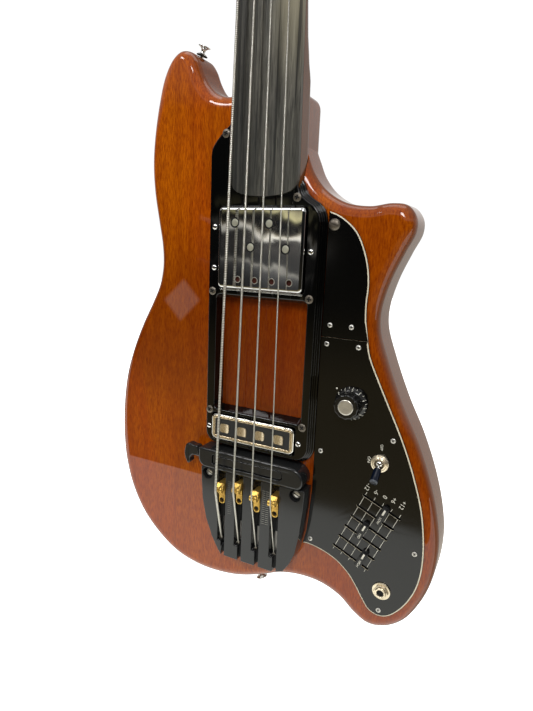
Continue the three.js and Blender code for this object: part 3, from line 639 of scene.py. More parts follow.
def ebony():
    look = Look("ebony", (0.03, 0.025, 0.02), 0.42, specular=0.25)
    streak = look.noise(230, 5, 0.65, (1, 1, 0.045), 0.3)
    broad = look.noise(60, 3, 0.5, (1, 1, 0.05))
    fine = look.noise(1600, 3, 0.6, (1, 1, 0.04))
    lines = look.noise(330, 2, 0.4, (1, 1, 0.015))
    color = look.ramp(streak, (0.36, (0.022, 0.021, 0.018)), (0.50, (0.100, 0.095, 0.080)),
                      (0.64, (0.225, 0.210, 0.170)))
    color = look.mix(look.ramp(broad, (0.4, 0.0), (0.7, 0.6)), color, (0.145, 0.134, 0.106))
    color = look.mix(look.ramp(fine, (0.35, 0.6), (0.5, 0.0)), color, (0.008, 0.007, 0.006))
    # Painted shade: the bass side of the board is darker.
    color = look.mix(look.times(look.place("X", 4, -30), 0.62), color, (0.018, 0.017, 0.015))
    # Painted highlight: a light streak along the treble side of the board.
    painted_shine = look.times(look.place("X", 0, 18), look.place("Z", 340, 450), look.place("Z", 640, 500), 0.8)
    color = look.mix(painted_shine, color, (0.38, 0.34, 0.23))
    color = look.mix(look.ramp(lines, (0.34, 0.8), (0.42, 0.0)), color, (0.014, 0.013, 0.011))
    heel = look.times(look.place("Z", 370, 300), 0.4)
    color = look.mix(heel, color, (0.030, 0.033, 0.033))
    look.set("Base Color", color)
    look.set("Roughness", look.spread(fine, 0.36, 0.52))
    look.bump(fine, 0.12, 0.05)
    return look.material


def gloss_black(name, color=(0.003, 0.0029, 0.0027), roughness=0.03, coat=1.0, scratch=0.006):
    look = Look(name, color, 0.5, coat=coat, coat_roughness=roughness, specular=0)
    smear = look.noise(30, 4, 0.6)
    marks = look.noise(420, 5, 0.7, distortion=0.6)
    dust = look.noise(2600, 2, 0.5)
    tint = look.mix(look.ramp(dust, (0.74, 0.0), (0.80, 0.5)), color, (0.12, 0.12, 0.11))
    look.set("Base Color", tint)
    look.set("Roughness", look.spread(smear, 0.4, 0.6))
    look.bump(marks, scratch, 0.04)
    return look.material


def metal(name, color, roughness, wear=0.5, tarnish=None, scratch=0.03, metallic=1.0):
    look = Look(name, color, roughness, metallic=metallic)
    cloud = look.noise(55, 5, 0.65)
    fine = look.noise(1400, 4, 0.7, (1, 1, 0.3), 0.6)
    dull = tarnish or tuple(c * 0.7 for c in color)
    look.set("Base Color", look.mix(look.ramp(cloud, (0.42, 0.0), (0.72, wear)), color, dull))
    look.set("Roughness", look.spread(cloud, roughness * 0.7, roughness * 1.7))
    look.bump(fine, scratch, 0.03)
    return look.material


def wound_string(name, pitch, strength):
    """Steel winding wire laid round a core: fine ridges across the string, with painted shade in the grooves
    between them.
    """
    look = Look(name, (0.6, 0.58, 0.53), 0.3, metallic=1)
    wave = look.tree.nodes.new("ShaderNodeTexWave")
    wave.wave_type = "BANDS"
    wave.bands_direction = "Z"
    wave.inputs["Scale"].default_value = 2 * math.pi / 20 / (pitch * MM)
    wave.inputs["Distortion"].default_value = 0.4
    wave.inputs["Detail"].default_value = 1
    look.link(look.coordinates, wave.inputs["Vector"])
    ridge = wave.outputs["Fac"]
    grime = look.noise(180, 3, 0.6)
    # Painted shade: the grooves between the turns of wire are darker than the crests.
    shade = look.mix(look.ramp(ridge, (0.0, 0.0), (0.5, 1.0)), (0.16, 0.15, 0.12), (0.72, 0.70, 0.64))
    look.set("Base Color", look.mix(look.ramp(grime, (0.45, 0.0), (0.75, 0.35)), shade, (0.4, 0.36, 0.28)))
    look.bump(ridge, strength, 0.15)
    return look.material


def matte(name, color, roughness, grain_scale=1800, strength=0.15):
    look = Look(name, color, roughness)
    grain = look.noise(grain_scale, 3, 0.6)
    cloud = look.noise(120, 3, 0.6)
    dark = tuple(c * 0.6 for c in color)
    look.set("Base Color", look.mix(look.ramp(cloud, (0.4, 0.0), (0.7, 0.35)), color, dark))
    look.set("Roughness", look.spread(grain, roughness * 0.85, min(1, roughness * 1.2)))
    look.bump(grain, strength, 0.06)
    return look.material


def spun_aluminium():
    """Fine turned rings round the knob's own axis."""
    look = Look("spun_aluminium", (0.85, 0.82, 0.75), 0.30, metallic=0.7)
    shifted = look.tree.nodes.new("ShaderNodeMapping")
    shifted.inputs["Location"].default_value = (-KNOB[0] * MM, 0, (HANGER_HEIGHT - KNOB[1]) * MM)
    look.link(look.coordinates, shifted.inputs["Vector"])
    rings = look.tree.nodes.new("ShaderNodeTexWave")
    rings.wave_type = "RINGS"
    rings.rings_direction = "Y"
    rings.inputs["Scale"].default_value = 900
    rings.inputs["Distortion"].default_value = 1.5
    look.link(shifted.outputs["Vector"], rings.inputs["Vector"])
    look.bump(rings.outputs["Fac"], 0.25, 0.05)
    cloud = look.noise(200, 3, 0.6)
    clouded = look.ramp(cloud, (0.4, 0.0), (0.7, 0.5))
    look.set("Base Color", look.mix(clouded, (0.70, 0.67, 0.60), (0.50, 0.45, 0.36)))
    look.shader.inputs["Anisotropic"].default_value = 0.6
    return look.material


# The last argument turns on the body's painted shade.
BODY_WOOD = mahogany("mahogany_gloss", (0.54, 0.094, 0.002), (0.22, 0.026, 0.001), 1.0, 0.015, True)
NECK_WOOD = mahogany("mahogany_satin", (0.20, 0.072, 0.022), (0.09, 0.030, 0.008), 0.7, 0.10)
EBONY = ebony()
PLATE_BLACK = gloss_black("plate_black", roughness=0.10)
FRAME_BLACK = gloss_black("frame_black", (0.0016, 0.0017, 0.0017), 0.05, scratch=0.003)
CAST_BLACK = gloss_black("cast_black", (0.017, 0.0175, 0.018), 0.12)
MUTE_GREY = gloss_black("mute_grey", (0.020, 0.020, 0.020), 0.12)
KNOB_BLACK = gloss_black("knob_black", (0.010, 0.0098, 0.0092), 0.10)
BLUE_SLEEVE = gloss_black("blue_sleeve", (0.003, 0.006, 0.016), 0.05, 0.6)
PLY_WHITE = matte("white_ply", (0.80, 0.72, 0.54), 0.4)
PRINT_WHITE = matte("white_print", (0.80, 0.77, 0.66), 0.5)
TICK_GREY = matte("tick_grey", (0.27, 0.26, 0.22), 0.5)
TICK_FAINT = matte("tick_faint", (0.20, 0.19, 0.17), 0.5)
CHROME = metal("chrome", (0.78, 0.775, 0.76), 0.10, 0.35)
BEZEL_CHROME = metal("bezel_chrome", (0.84, 0.82, 0.77), 0.10, 0.3, (0.6, 0.52, 0.4), 0.003)
# Chrome tinted warm: a painted reflection of warm light on the bezel's inner face.
BEZEL_PAINTED_REFLECTION = metal("bezel_painted_reflection", (0.80, 0.66, 0.45), 0.20, 0.6, (0.36, 0.25, 0.14), 0.004, 0.85)
MIRROR_CHROME = metal("cover_chrome", (0.66, 0.66, 0.65), 0.035, 0.3, scratch=0.006)
WARM_CHROME = metal("warm_chrome", (0.84, 0.73, 0.55), 0.22, 0.35, (0.66, 0.54, 0.37), 0.01, 0.82)
NICKEL = metal("nickel", (0.72, 0.69, 0.62), 0.26, 0.5, (0.50, 0.45, 0.36), 0.03, 0.85)
WARM_NICKEL = metal("warm_nickel", (0.78, 0.66, 0.47), 0.22, 0.6, (0.5, 0.36, 0.21), 0.03, 0.85)
SCREW_NICKEL = metal("screw_nickel", (0.74, 0.72, 0.67), 0.30, 0.5, (0.45, 0.42, 0.36), 0.03, 0.65)
SCREW_BLACK = metal("screw_black", (0.06, 0.055, 0.05), 0.34, 0.6, (0.03, 0.03, 0.03))
SCREW_DARK = metal("screw_dark", (0.20, 0.18, 0.15), 0.32, 0.6, (0.10, 0.075, 0.05), 0.03, 0.8)
BRASS = metal("brass", (0.80, 0.51, 0.12), 0.32, 0.35, (0.66, 0.40, 0.10), 0.008, 0.85)
POLE_GREY = metal("pole_grey", (0.52, 0.51, 0.41), 0.34, 0.4, (0.36, 0.35, 0.27), 0.03, 0.5)
STEEL = metal("steel", (0.5, 0.49, 0.47), 0.3)
BATTERY_FOIL = metal("battery_foil", (0.5, 0.5, 0.52), 0.35)
SPUN = spun_aluminium()
WOUND_E = wound_string("wound_e", 1.5, 1.0)
WOUND = wound_string("wound", 0.9, 0.6)
BLACK_PLASTIC = matte("black_plastic", (0.010, 0.010, 0.011), 0.34)
INSERT_BLACK = matte("insert_black", (0.018, 0.018, 0.018), 0.5)
TIP_GREY = matte("tip_grey", (0.09, 0.10, 0.12), 0.3)
FELT = matte("felt", (0.015, 0.013, 0.012), 0.95, 3000, 0.6)
FOAM = matte("foam", (0.11, 0.085, 0.02), 0.9, 1400, 0.6)
BONE = matte("bone", (0.74, 0.68, 0.52), 0.35)
# Near black that stands for painted shade in recesses, slots, gaps, the jack's bore and under the slider
# slots.
PAINTED_SHADE_BLACK = matte("painted_shade_black", (0.004, 0.004, 0.004), 0.8)
BOBBIN = matte("bobbin", (0.10, 0.018, 0.008), 0.6)
CIRCUIT = matte("circuit", (0.02, 0.12, 0.05), 0.5)


# ---- shared places -------------------------------------------------------------------------------

def board_half_width(z):
    taper = (BOARD_HALF_WIDE - BOARD_HALF_AT_NUT) / (SCALE_LENGTH - BOARD_WIDE_Z)
    return BOARD_HALF_WIDE - taper * (z - BOARD_WIDE_Z)


def string_x(index, z):
    at_bridge = STRING_MIDDLE_X + (index - 1.5) * SPACING_AT_BRIDGE
    at_nut = (index - 1.5) * SPACING_AT_NUT
    return at_bridge + (at_nut - at_bridge) * z / SCALE_LENGTH


def slot_x(index):
    return SLOT_FIRST_X + SLOT_SPACING * index


def board_outline(margin=0.0):
    top = SCALE_LENGTH - GAP
    end = spline([(-31.7, 281), (-29.6, 275), (-25, 271.2), (-14, 268.4), (0, 267.5), (14, 268.4),
                  (25, 271.2), (29.6, 275), (31.7, 281)], False, 1.5)
    return inset([*end, (board_half_width(top), top), (-board_half_width(top), top)], -margin)


def heel_outline(margin=0.0):
    width = board_half_width(NECK_END) + margin
    top = HEEL_TOP + 60
    top_width = board_half_width(top) + margin
    return [(-width, NECK_END - margin), (width, NECK_END - margin), (top_width, top), (-top_width, top)]


def bolt_hole(x, z, r, y0, y1):
    return slab(circle(x, z, r, 32), [(y0, 0), (y1, 0)])


# ---- body ----------------------------------------------------------------------------------------

def reach_of(loop, most):
    """How much of an inset of most millimetres each corner can take before the outline folds."""
    count = len(loop)
    room = []
    for i in range(count):
        a, b, c = Vector(loop[i - 4]), Vector(loop[i]), Vector(loop[(i + 4) % count])
        turn = (b - a).angle_signed(c - b, 0)
        radius = (c - a).length / 2 / max(1e-6, -turn)
        room.append(min(1, 0.75 * radius / most) if turn < 0 else 1)
    room = [min(room[(i + k) % count] for k in range(-6, 7)) for i in range(count)]
    for _ in range(3):
        room = [sum(room[(i + k) % count] for k in range(-6, 7)) / 13 for i in range(count)]
    return room


def make_body():
    """The rounded body with the neck's tongue, and the pockets for all that sits in it."""
    outline = spline(BODY_OUTLINE, True, 2)
    levels = round_edge(BODY_FACE, BODY_FRONT_ROUND, 10)
    levels += round_edge(BODY_BACK, BODY_BACK_ROUND, 9, -1)[::-1]
    shell = slab(outline, levels, weights=reach_of(outline, BODY_FRONT_ROUND))
    tongue_shape = rounded([(-31, 262), (27, 262), (27, HEEL_TOP), (-31, HEEL_TOP)], [0, 0, 11, 8])
    tongue = soft_slab(tongue_shape, HEEL_BACK + GAP, BODY_BACK, 1, 7)
    controls = slab(inset(list(PLATE_OUTLINE), 7), [(BODY_FACE - 1, 0), (50, 0)])
    cuts = [
        slab(heel_outline(GAP), [(-5, 0), (HEEL_BACK + GAP, 0)]),
        controls,
        slab(rounded_box(66, 96, -34, 24, 4), [(49, 0), (BODY_BACK + 1, 0)]),
        slab(rounded_box(60, 102, -42, 32, 5), [(54.7, 0), (BODY_BACK + 1, 0)]),
        slab(rounded_box(-43, 43, 186.5, 260.5, 5), [(BODY_FACE - 1, 0), (38, 0)]),
        slab(rounded_box(-47, 42, 42, 69.5, 5), [(BODY_FACE - 1, 0), (38, 0)]),
        bolt_hole(-BOLT_X, 8.5, 3.3, 5, 36),
        bolt_hole(BOLT_X, 8.5, 3.3, 5, 36),
    ]
    piece("body_shell", shell, BODY_WOOD, replaces=("body",),
          adds=(tongue,), cuts=cuts, sharp=38)


# ---- neck, board and head ------------------------------------------------------------------------

NECK_SECTIONS = ((NECK_END, 21.4, 14), (HEEL_TOP + 4, 21.4, 14), (372, 21.4, 6), (392, 21, 3.4),
                 (420, 20.4, 2.5), (640, 19.4, 2.3), (840, 18, 2.3), (SCALE_LENGTH + 9, 19, 2.4))


def neck_ring(z, back, power):
    width = board_half_width(z)
    ring = []
    for i in range(49):
        angle = math.pi * i / 48
        cos, sin = math.cos(angle), math.sin(angle)
        across = math.copysign(abs(cos) ** (2 / power), cos)
        deep = max(0.0, sin) ** (2 / power)
        ring.append((width * across, NECK_FACE + (back - NECK_FACE) * deep, z))
    return ring


def neck_rings():
    rings = []
    for (z0, back0, power0), (z1, back1, power1) in zip(NECK_SECTIONS, NECK_SECTIONS[1:]):
        steps = max(2, round((z1 - z0) / 12))
        for k in range(steps):
            t = k / steps
            ease = t * t * (3 - 2 * t)
            power = math.exp(math.log(power0) + (math.log(power1) - math.log(power0)) * ease)
            rings.append(neck_ring(z0 + (z1 - z0) * t, back0 + (back1 - back0) * ease, power))
    rings.append(neck_ring(*NECK_SECTIONS[-1]))
    return rings


def head_outline():
    return spline(HEAD_OUTLINE[1:] + HEAD_OUTLINE[:1], False, 3)


def make_neck():
    head = soft_slab(head_outline(), 0, HEAD_THICKNESS, 1.5, 3, 5)
    posts = [moved(bolt_hole(x, z, 6.8, -5, 30), matrix=HEAD_FRAME) for x, z in HEAD_POSTS]
    mouth = moved(slab(box(-5, 5, 2, 26), [(-3, 0), (9, 0)]), matrix=HEAD_FRAME)
    piece("neck_shaft", loft(neck_rings()), NECK_WOOD, replaces=("neck",),
          adds=(moved(head, matrix=HEAD_FRAME),), cuts=(*posts, mouth), sharp=35)


def make_fingerboard():
    """A long ebony board with a slight crown across it and a rounded end."""
    stations = [(0.4, 267.5), (7, 267.75), (14, 268.4), (20, 269.6), (25, 271.2), (27.6, 272.9),
                (29.6, 275), (30.9, 277.8), (31.7, 281)]
    stations += [(board_half_width(z), z) for z in range(290, 860, 15)]
    stations.append((board_half_width(SCALE_LENGTH - GAP), SCALE_LENGTH - GAP))
    rings = []
    for width, z in stations:
        ring = [(-width, BOARD_BACK, z)]
        edge_y = BOARD_TOP + width * width / 2 / BOARD_CROWN
        shoulder = min(0.9, width * 0.4)
        for k in range(4):
            a = math.pi / 2 * k / 4
            ring.append((-width + shoulder * (1 - math.cos(a)), edge_y + shoulder * (1 - math.sin(a)), z))
        for k in range(17):
            x = (width - shoulder) * (k / 8 - 1)
            ring.append((x, BOARD_TOP + x * x / 2 / BOARD_CROWN, z))
        for k in range(3, -1, -1):
            a = math.pi / 2 * k / 4
            ring.append((width - shoulder * (1 - math.cos(a)), edge_y + shoulder * (1 - math.sin(a)), z))
        ring.append((width, BOARD_BACK, z))
        rings.append(ring)
    piece("fretless_board", loft(rings), EBONY, replaces=("fingerboard",), sharp=50)


def make_nut():
    blank = slab(rounded_box(-20.5, 20.5, SCALE_LENGTH, SCALE_LENGTH + NUT_THICKNESS, 0.8, 4),
                 [(-7.2, 0.6), (-6.9, 0.2), (-6.5, 0), (NECK_FACE - GAP, 0)])
    grooves = []
    for i, (_, radius) in enumerate(STRINGS):
        x = string_x(i, SCALE_LENGTH)
        half = radius + GAP
        rod = sweep([(x, STRING_Y_NUT, SCALE_LENGTH - 1), (x, STRING_Y_NUT, SCALE_LENGTH + 7)], half, 20)
        grooves.append(rod)
        grooves.append(slab(box(x - half, x + half, SCALE_LENGTH - 1, SCALE_LENGTH + 7),
                            [(-9, 0), (STRING_Y_NUT, 0)]))
    piece("string_nut", blank, BONE, replaces=("nut",), cuts=grooves)


def make_head_plates():
    """The black overlay with the truss rod's cover on it."""
    face = slab(inset(head_outline(), 0.6), [(-1.8, 0.4), (-1.65, 0.15), (-1.4, 0), (-GAP, 0)])
    posts = [bolt_hole(x, z, 6.8, -5, 5) for x, z in HEAD_POSTS]
    cuts = [moved(c, matrix=HEAD_FRAME) for c in (*posts, slab(box(-5, 5, -2, 26), [(-4, 0), (2, 0)]))]
    piece("head_overlay", moved(face, matrix=HEAD_FRAME), FRAME_BLACK, replaces=("headstock_overlay",),
          cuts=cuts)
    shape = spline([(-10, 3), (0, 3), (10, 3), (11, 12), (9, 24), (5, 33), (0, 36), (-5, 33), (-9, 24),
                    (-11, 12)], True, 1.5)
    white = slab(shape, [(-3.7, 0.4), (-3.2, 0), (-2.1, 0)])
    black = slab(inset(shape, 0.9), [(-4.1, 0.3), (-3.95, 0.1), (-3.6, 0)])
    piece("rod_cover_ply", moved(white, matrix=HEAD_FRAME), PLY_WHITE)
    piece("rod_cover", moved(black, matrix=HEAD_FRAME), PLATE_BLACK, replaces=("truss_rod_cover",))
    for i, z in enumerate((8, 30)):
        head = phillips_head(1.9, 1.0)[0]
        piece(f"rod_cover_screw_{i}", moved(moved(head, 0, -4.1, z), matrix=HEAD_FRAME), SCREW_NICKEL)


def make_tuners():
    for (name, _), (x, z) in zip(STRINGS, HEAD_POSTS):
        side = math.copysign(1, x)
        place = HEAD_FRAME @ Matrix.Translation((x, 0, z))
        housing = soft_slab(rounded_box(-13, 13, -15, 15, 3, 5), 15.3, 27, 0.5, 1.6, 4)
        ears = [moved(along_x(turned([(0.1, -1.5), (4.6, -1.5), (4.6, 0.6), (4.0, 1.2), (0.1, 1.2)], 32)),
                      side * 13, KEY_DEPTH, 0)]
        shell = joined(housing, *ears)
        piece(f"tuner_box_{name}", moved(shell, matrix=place), CHROME, replaces=(f"tuner_housing_{name}",))
        for k, (sx, sz) in enumerate(((-10, -12), (10, -12), (-10, 12), (10, 12))):
            screw = moved(phillips_head(1.5, 0.8)[0], matrix=rotation("X", 180))
            piece(f"tuner_screw_{name}_{k}", moved(moved(screw, sx, 27, sz), matrix=place), SCREW_NICKEL)
        post = turned([(0.1, -22), (4.4, -22), (5.1, -21.6), (5.5, -20.8), (5.3, -19), (4.75, -16.5),
                       (4.7, -15), (4.7, -8), (5.0, -6.2), (6, -4.6), (6, 10), (5.2, 12), (5.2, 16.6),
                       (0.1, 16.6)], 40)
        slot = slab(box(-7, 7, -0.9, 0.9), [(-23, 0), (-18.5, 0)])
        bore = bolt_hole(0, 0, 1.3, -23, -10)
        piece(f"tuner_shaft_{name}", moved(post, matrix=place), CHROME, f"tuner_post_{name}",
              replaces=(f"tuner_post_{name}",),
              cuts=(moved(slot, matrix=place), moved(bore, matrix=place)))
        ferrule = turned_ring([(6.9, -2.1), (6.9, -3.2), (7.4, -3.8), (8.6, -3.8), (9.2, -3.1), (9.2, -2.1)],
                              40)
        piece(f"tuner_washer_{name}", moved(ferrule, matrix=place), CHROME)
        turn = rotation("Z", 180) if side < 0 else Matrix()
        key_place = place @ Matrix.Translation((0, KEY_DEPTH, 0)) @ turn
        stem = along_x(turned([(0.1, -3.4), (3, -3.4), (3, 19.5), (4.1, 20), (4.4, 20.6), (4.4, 24.4),
                               (4.0, 25), (2.6, 26.5), (2.6, 30), (0.1, 30)], 32))
        ear_shape = spline([(24, 0), (26, 5), (29, 9), (33, 11.8), (38, 12.5), (43, 11.4), (46, 9),
                            (48, 4.6), (48.5, 0), (48, -4.6), (46, -9), (43, -11.4), (38, -12.5),
                            (33, -11.8), (29, -9), (26, -5)], True, 1)
        ear = soft_slab(ear_shape, -2.2, 2.2, 1.1, 1.1, 4)
        piece(f"tuner_handle_{name}", moved(stem, matrix=key_place), CHROME, f"tuner_key_{name}",
              replaces=(f"tuner_key_{name}",), adds=(moved(ear, matrix=key_place),))


# ---- strings -------------------------------------------------------------------------------------

def make_strings():
    for i, (name, radius) in enumerate(STRINGS):
        saddle = Vector((string_x(i, SADDLE_Z[i]), STRING_Y_SADDLE, SADDLE_Z[i] - 0.6))
        anchor = Vector((saddle.x, ANCHOR_Y, ANCHOR_Z))
        nut = Vector((string_x(i, SCALE_LENGTH), STRING_Y_NUT, SCALE_LENGTH))
        after_nut = nut + Vector((0, 0, NUT_THICKNESS + 0.5))
        x, z = HEAD_POSTS[i]
        clear = 4.7 + radius + GAP
        post = HEAD_FRAME @ Vector((x - math.copysign(clear, x), -11.5, z))
        path = [anchor, saddle + Vector((0, 0.5, -2.2)), saddle + Vector((0, 0.12, -0.9)), saddle,
                saddle + Vector((0, 0, 1.5)), *[nut.lerp(saddle, k / 12) for k in range(11, -1, -1)],
                after_nut + Vector((0, 0, -0.8)), after_nut, post]
        look = WOUND_E if name == "e" else WOUND
        piece(f"wound_string_{name}", sweep(path, radius, 20), look, replaces=(f"string_{name}",))
        ball = sweep([anchor + Vector((-1.6, 0, -0.8)), anchor + Vector((1.6, 0, -0.8))], radius + 0.35, 16)
        piece(f"string_ball_{name}", ball, SCREW_DARK)
        wraps = []
        for turn in range(3):
            ring_y = -11.5 - turn * 2 * radius * 1.05
            hoop = [(x + (4.75 + radius) * math.cos(a), ring_y, z + (4.75 + radius) * math.sin(a))
                    for a in (2 * math.pi * k / 40 for k in range(41))]
            wraps.append(sweep(hoop, radius * 0.96, 10))
        piece(f"string_wraps_{name}", moved(joined(*wraps), matrix=HEAD_FRAME), look,
              f"tuner_post_{name}")


# ---- bridge and mute -----------------------------------------------------------------------------

BRIDGE_OUTLINE = (
    (-53.9, 13.7), (-53.4, 0), (-52, -20), (-47.5, -40), (-40.2, -58), (-33.2, -70), (-30.5, -73),
    (-24, -75), (18, -75), (33, -73), (38, -71), (44, -62), (49, -50), (52.5, -30), (54.8, -5),
    (55.6, 13.7),
)


def edge_x(z, side):
    """The x of the bridge's left or right edge at a height."""
    chain = BRIDGE_OUTLINE[:8] if side < 0 else BRIDGE_OUTLINE[:7:-1]
    for (x0, z0), (x1, z1) in zip(chain, chain[1:]):
        if z1 <= z <= z0:
            return x0 + (x1 - x0) * (z - z0) / (z1 - z0)
    return chain[-1][0]


def finger_outlines():
    """The five fingers between the four saddle slots, anticlockwise."""
    slots = [slot_x(i) for i in range(4)]
    left_edge = [(edge_x(z, -1), z) for z in (BRIDGE_TOP, 0, -20, -30, -40, -50, -58, -66, -70, -73)]
    right_edge = [(edge_x(z, 1), z) for z in (-71, -66.5, -62, -56, -50, -40, -30, -18, -5, BRIDGE_TOP)]

    def treble_side(x):
        """A finger's right edge from its foot up; it is wider beside the slot's narrow lower part."""
        return [(x + 0.1, BRIDGE_FOOT), (x + 0.1, SLOT_NECK_Z), (x - SLOT_HALF, SLOT_NECK_Z),
                (x - SLOT_HALF, BRIDGE_TOP)]

    fingers = [[*left_edge, (-29.8, -74.4), *treble_side(slots[0])]]
    for a, b in zip(slots, slots[1:]):
        fingers.append([(a + SLOT_HALF, BRIDGE_TOP), (a + SLOT_HALF, BRIDGE_FOOT), *treble_side(b)])
    last = slots[3] + SLOT_HALF
    fingers.append([(last, BRIDGE_TOP), (last, -73.6), (33, -73), *right_edge])
    return fingers


def make_bridge():
    floor = slab(inset(list(BRIDGE_OUTLINE), 0.3), [(SLOT_FLOOR, 0), (COVER_BACK, 0)])
    parts = [floor]
    for i in range(4):
        x = slot_x(i)
        parts.append(slab(box(x + 0.05, x + 4.05, -74.5, -59.9), [(0, 0), (SLOT_FLOOR + 0.5, 0)]))
    levels = [(BRIDGE_FACE + y, pull) for y, pull in
              ((0, 0.72), (0.05, 0.46), (0.18, 0.24), (0.4, 0.08), (0.7, 0))]
    levels.append((SLOT_FLOOR + 0.5, 0))
    for index, outline in enumerate(finger_outlines()):
        shape = rounded(outline, [0.9] * len(outline), 3) if index in (1, 2, 3) else rounded_some(outline)
        holes = [circle(math.copysign(BOLT_X, index - 2), BOLT_Z, 5.6, 48)] if index in (0, 4) else []
        parts.append(slab(shape, levels, holes))
    for x in (-BOLT_X, BOLT_X):
        parts.append(slab(circle(x, BOLT_Z, 6, 40), [(0, 0), (SLOT_FLOOR + 0.5, 0)]))
    piece("bridge_casting", joined(*parts), CAST_BLACK, replaces=("bridge_block",))
    for i in range(4):
        x = slot_x(i)
        strip = slab(rounded_box(x - 2.6, x + 2.6, -58, -38, 0.6, 3),
                     [(SLOT_FLOOR - 0.7, 0.2), (SLOT_FLOOR - 0.5, 0), (SLOT_FLOOR + 0.2, 0)])
        piece(f"slot_strip_{i}", strip, STEEL)
        pad = slab(rounded_box(x - 3.4, x + 3.4, 11.2, 13.4, 0.8, 3),
                   [(-3.2, 0.6), (-2.6, 0.1), (SLOT_FLOOR, 0)])
        piece(f"slot_foam_{i}", pad, FOAM)
    for side, x in (("bass", -BOLT_X), ("treble", BOLT_X)):
        turn = rotation("Y", BOLT_TURN)
        slot = moved(slab(box(-6, 6, -0.65, 0.65), [(-6, 0), (-1.7, 0)]), x, 0, BOLT_Z, turn)
        piece(f"bridge_screw_{side}", bolt(x), NICKEL, replaces=(f"bridge_bolt_{side}",),
              cuts=(slot,))
        # Painted shade: a dark sheet in each bolt's slot and a dark disc round its head in the finger's hole.
        recess_shade = slab(box(-4, 4, -0.6, 0.6), [(-1.9, 0), (-1.5, 0)])
        well = slab(circle(0, 0, 5.5, 40), [(-0.2, 0), (0.2, 0)])
        piece(f"bridge_screw_well_{side}", moved(joined(recess_shade, well), x, 0, BOLT_Z, turn), PAINTED_SHADE_BLACK)
    make_tick_scales()


def rounded_some(outline):
    """The outer fingers' free corners are rounded, and their long edge keeps its own points."""
    count = len(outline)
    radii = []
    for i in range(count):
        before = Vector(outline[i]) - Vector(outline[i - 1])
        after = Vector(outline[(i + 1) % count]) - Vector(outline[i])
        sharp = abs(before.angle_signed(after, 0)) > 0.6
        radii.append(0.9 if sharp else 0)
    return rounded(outline, radii, 3)


def bolt(x):
    """A long bolt with a low domed head, still without its slot."""
    profile = [(0.05, -2.7), (2.0, -2.6), (3.1, -2.4), (3.75, -2.0), (4.0, -1.4), (4.0, -0.3), (3, -0.3),
               (3, 33), (0.05, 34)]
    return moved(turned(profile, 40), x, 0, BOLT_Z)


def make_tick_scales():
    """Two fine printed scales for setting the saddles, between the strings."""
    scales = (("treble", (15.15, 19.25), 1.7, TICK_GREY), ("bass", (-20.8,), 2.1, TICK_FAINT))
    for name, columns, half, look in scales:
        marks = []
        for k in range(TICK_COUNT):
            z = TICK_TOP - k * TICK_PITCH
            for x in columns:
                marks.append(slab(box(x - half, x + half, z - 0.16, z + 0.16),
                                  [(BRIDGE_FACE - 0.05, 0.02), (BRIDGE_FACE + 0.1, 0)]))
        piece(f"tick_scale_{name}", joined(*marks), look)


def extruded(profile, x0, x1, chamfer):
    """A prism along X from (y, z) points, with chamfered ends."""
    ys = [y for y, _ in profile]
    zs = [z for _, z in profile]
    middle = (sum(ys) / len(ys), sum(zs) / len(zs))
    rings = []
    for x, pull in ((x0, chamfer), (x0 + chamfer, 0), (x1 - chamfer, 0), (x1, chamfer)):
        rings.append([(x, y - math.copysign(pull, y - middle[0]), z - math.copysign(pull, z - middle[1]))
                      for y, z in profile])
    return loft(rings)


def make_saddles():
    for i, (name, radius) in enumerate(STRINGS):
        x = slot_x(i)
        z = SADDLE_Z[i]
        top = STRING_Y_SADDLE + radius + GAP
        axis = top + SADDLE_RADIUS
        sx = string_x(i, z)
        foot = slab(rounded_box(x - 3.6, x + 3.6, z - 6, z + 6, 0.7, 4),
                    [(BRIDGE_FACE - 1, 0.7), (BRIDGE_FACE - 0.8, 0.3), (BRIDGE_FACE - 0.4, 0),
                     (SLOT_FLOOR - GAP, 0)])
        post = slab(rounded_box(x - 3, x + 3, z - 2.8, z + 2.8, 0.6, 3), [(axis, 0), (BRIDGE_FACE, 0)])
        side_view = [(BRIDGE_FACE - 4.6, z - 1), (BRIDGE_FACE - 4.6, z + 2.4), (BRIDGE_FACE - 1.6, z + 5.8),
                     (BRIDGE_FACE + 1, z + 5.9), (BRIDGE_FACE + 1, z - 1)]
        wedge = extruded(side_view, x - 3.4, x + 3.5, 0.35)
        groove = radius + 0.15
        barrel = [(0.1, x - 4.4), (2.5, x - 4.4), (3.0, x - 4.1), (SADDLE_RADIUS, x - 3.6),
                  (SADDLE_RADIUS, sx - groove - 0.8), (2.75, sx - groove * 0.7), (2.5, sx),
                  (2.75, sx + groove * 0.7), (SADDLE_RADIUS, sx + groove + 0.8), (SADDLE_RADIUS, x + 2.6),
                  (2.9, x + 3.0), (2.5, x + 3.2), (0.1, x + 3.2)]
        rest = moved(along_x(turned(barrel, 40)), 0, axis, z)
        screw_z = z - 12.6
        tongue_shape = [*arc(x, z - 13, 3.4, 180, 360, 24), (x + 3.4, z), (x - 3.4, z)]
        tongue = slab(tongue_shape, [(-5.4, 0.5), (-5.2, 0.15), (-4.8, 0), (SLOT_FLOOR - GAP, 0)],
                      [circle(x, screw_z, 2.5, 32)])
        piece(f"brass_saddle_{name}", joined(foot, post, wedge, rest, tongue), BRASS, f"saddle_{name}",
              replaces=(f"saddle_{name}",))
        screw = moved(turned([(0.05, -4.3), (1.1, -4.25), (1.6, -4.0), (1.9, -3.6), (1.9, 3), (0.05, 3)], 32),
                      x, 0, screw_z)
        piece(f"saddle_screw_{name}", screw, SCREW_BLACK, f"saddle_{name}",
              cuts=(slab(box(x - 3, x + 3, screw_z - 0.3, screw_z + 0.3), [(-5, 0), (-3.6, 0)]),))


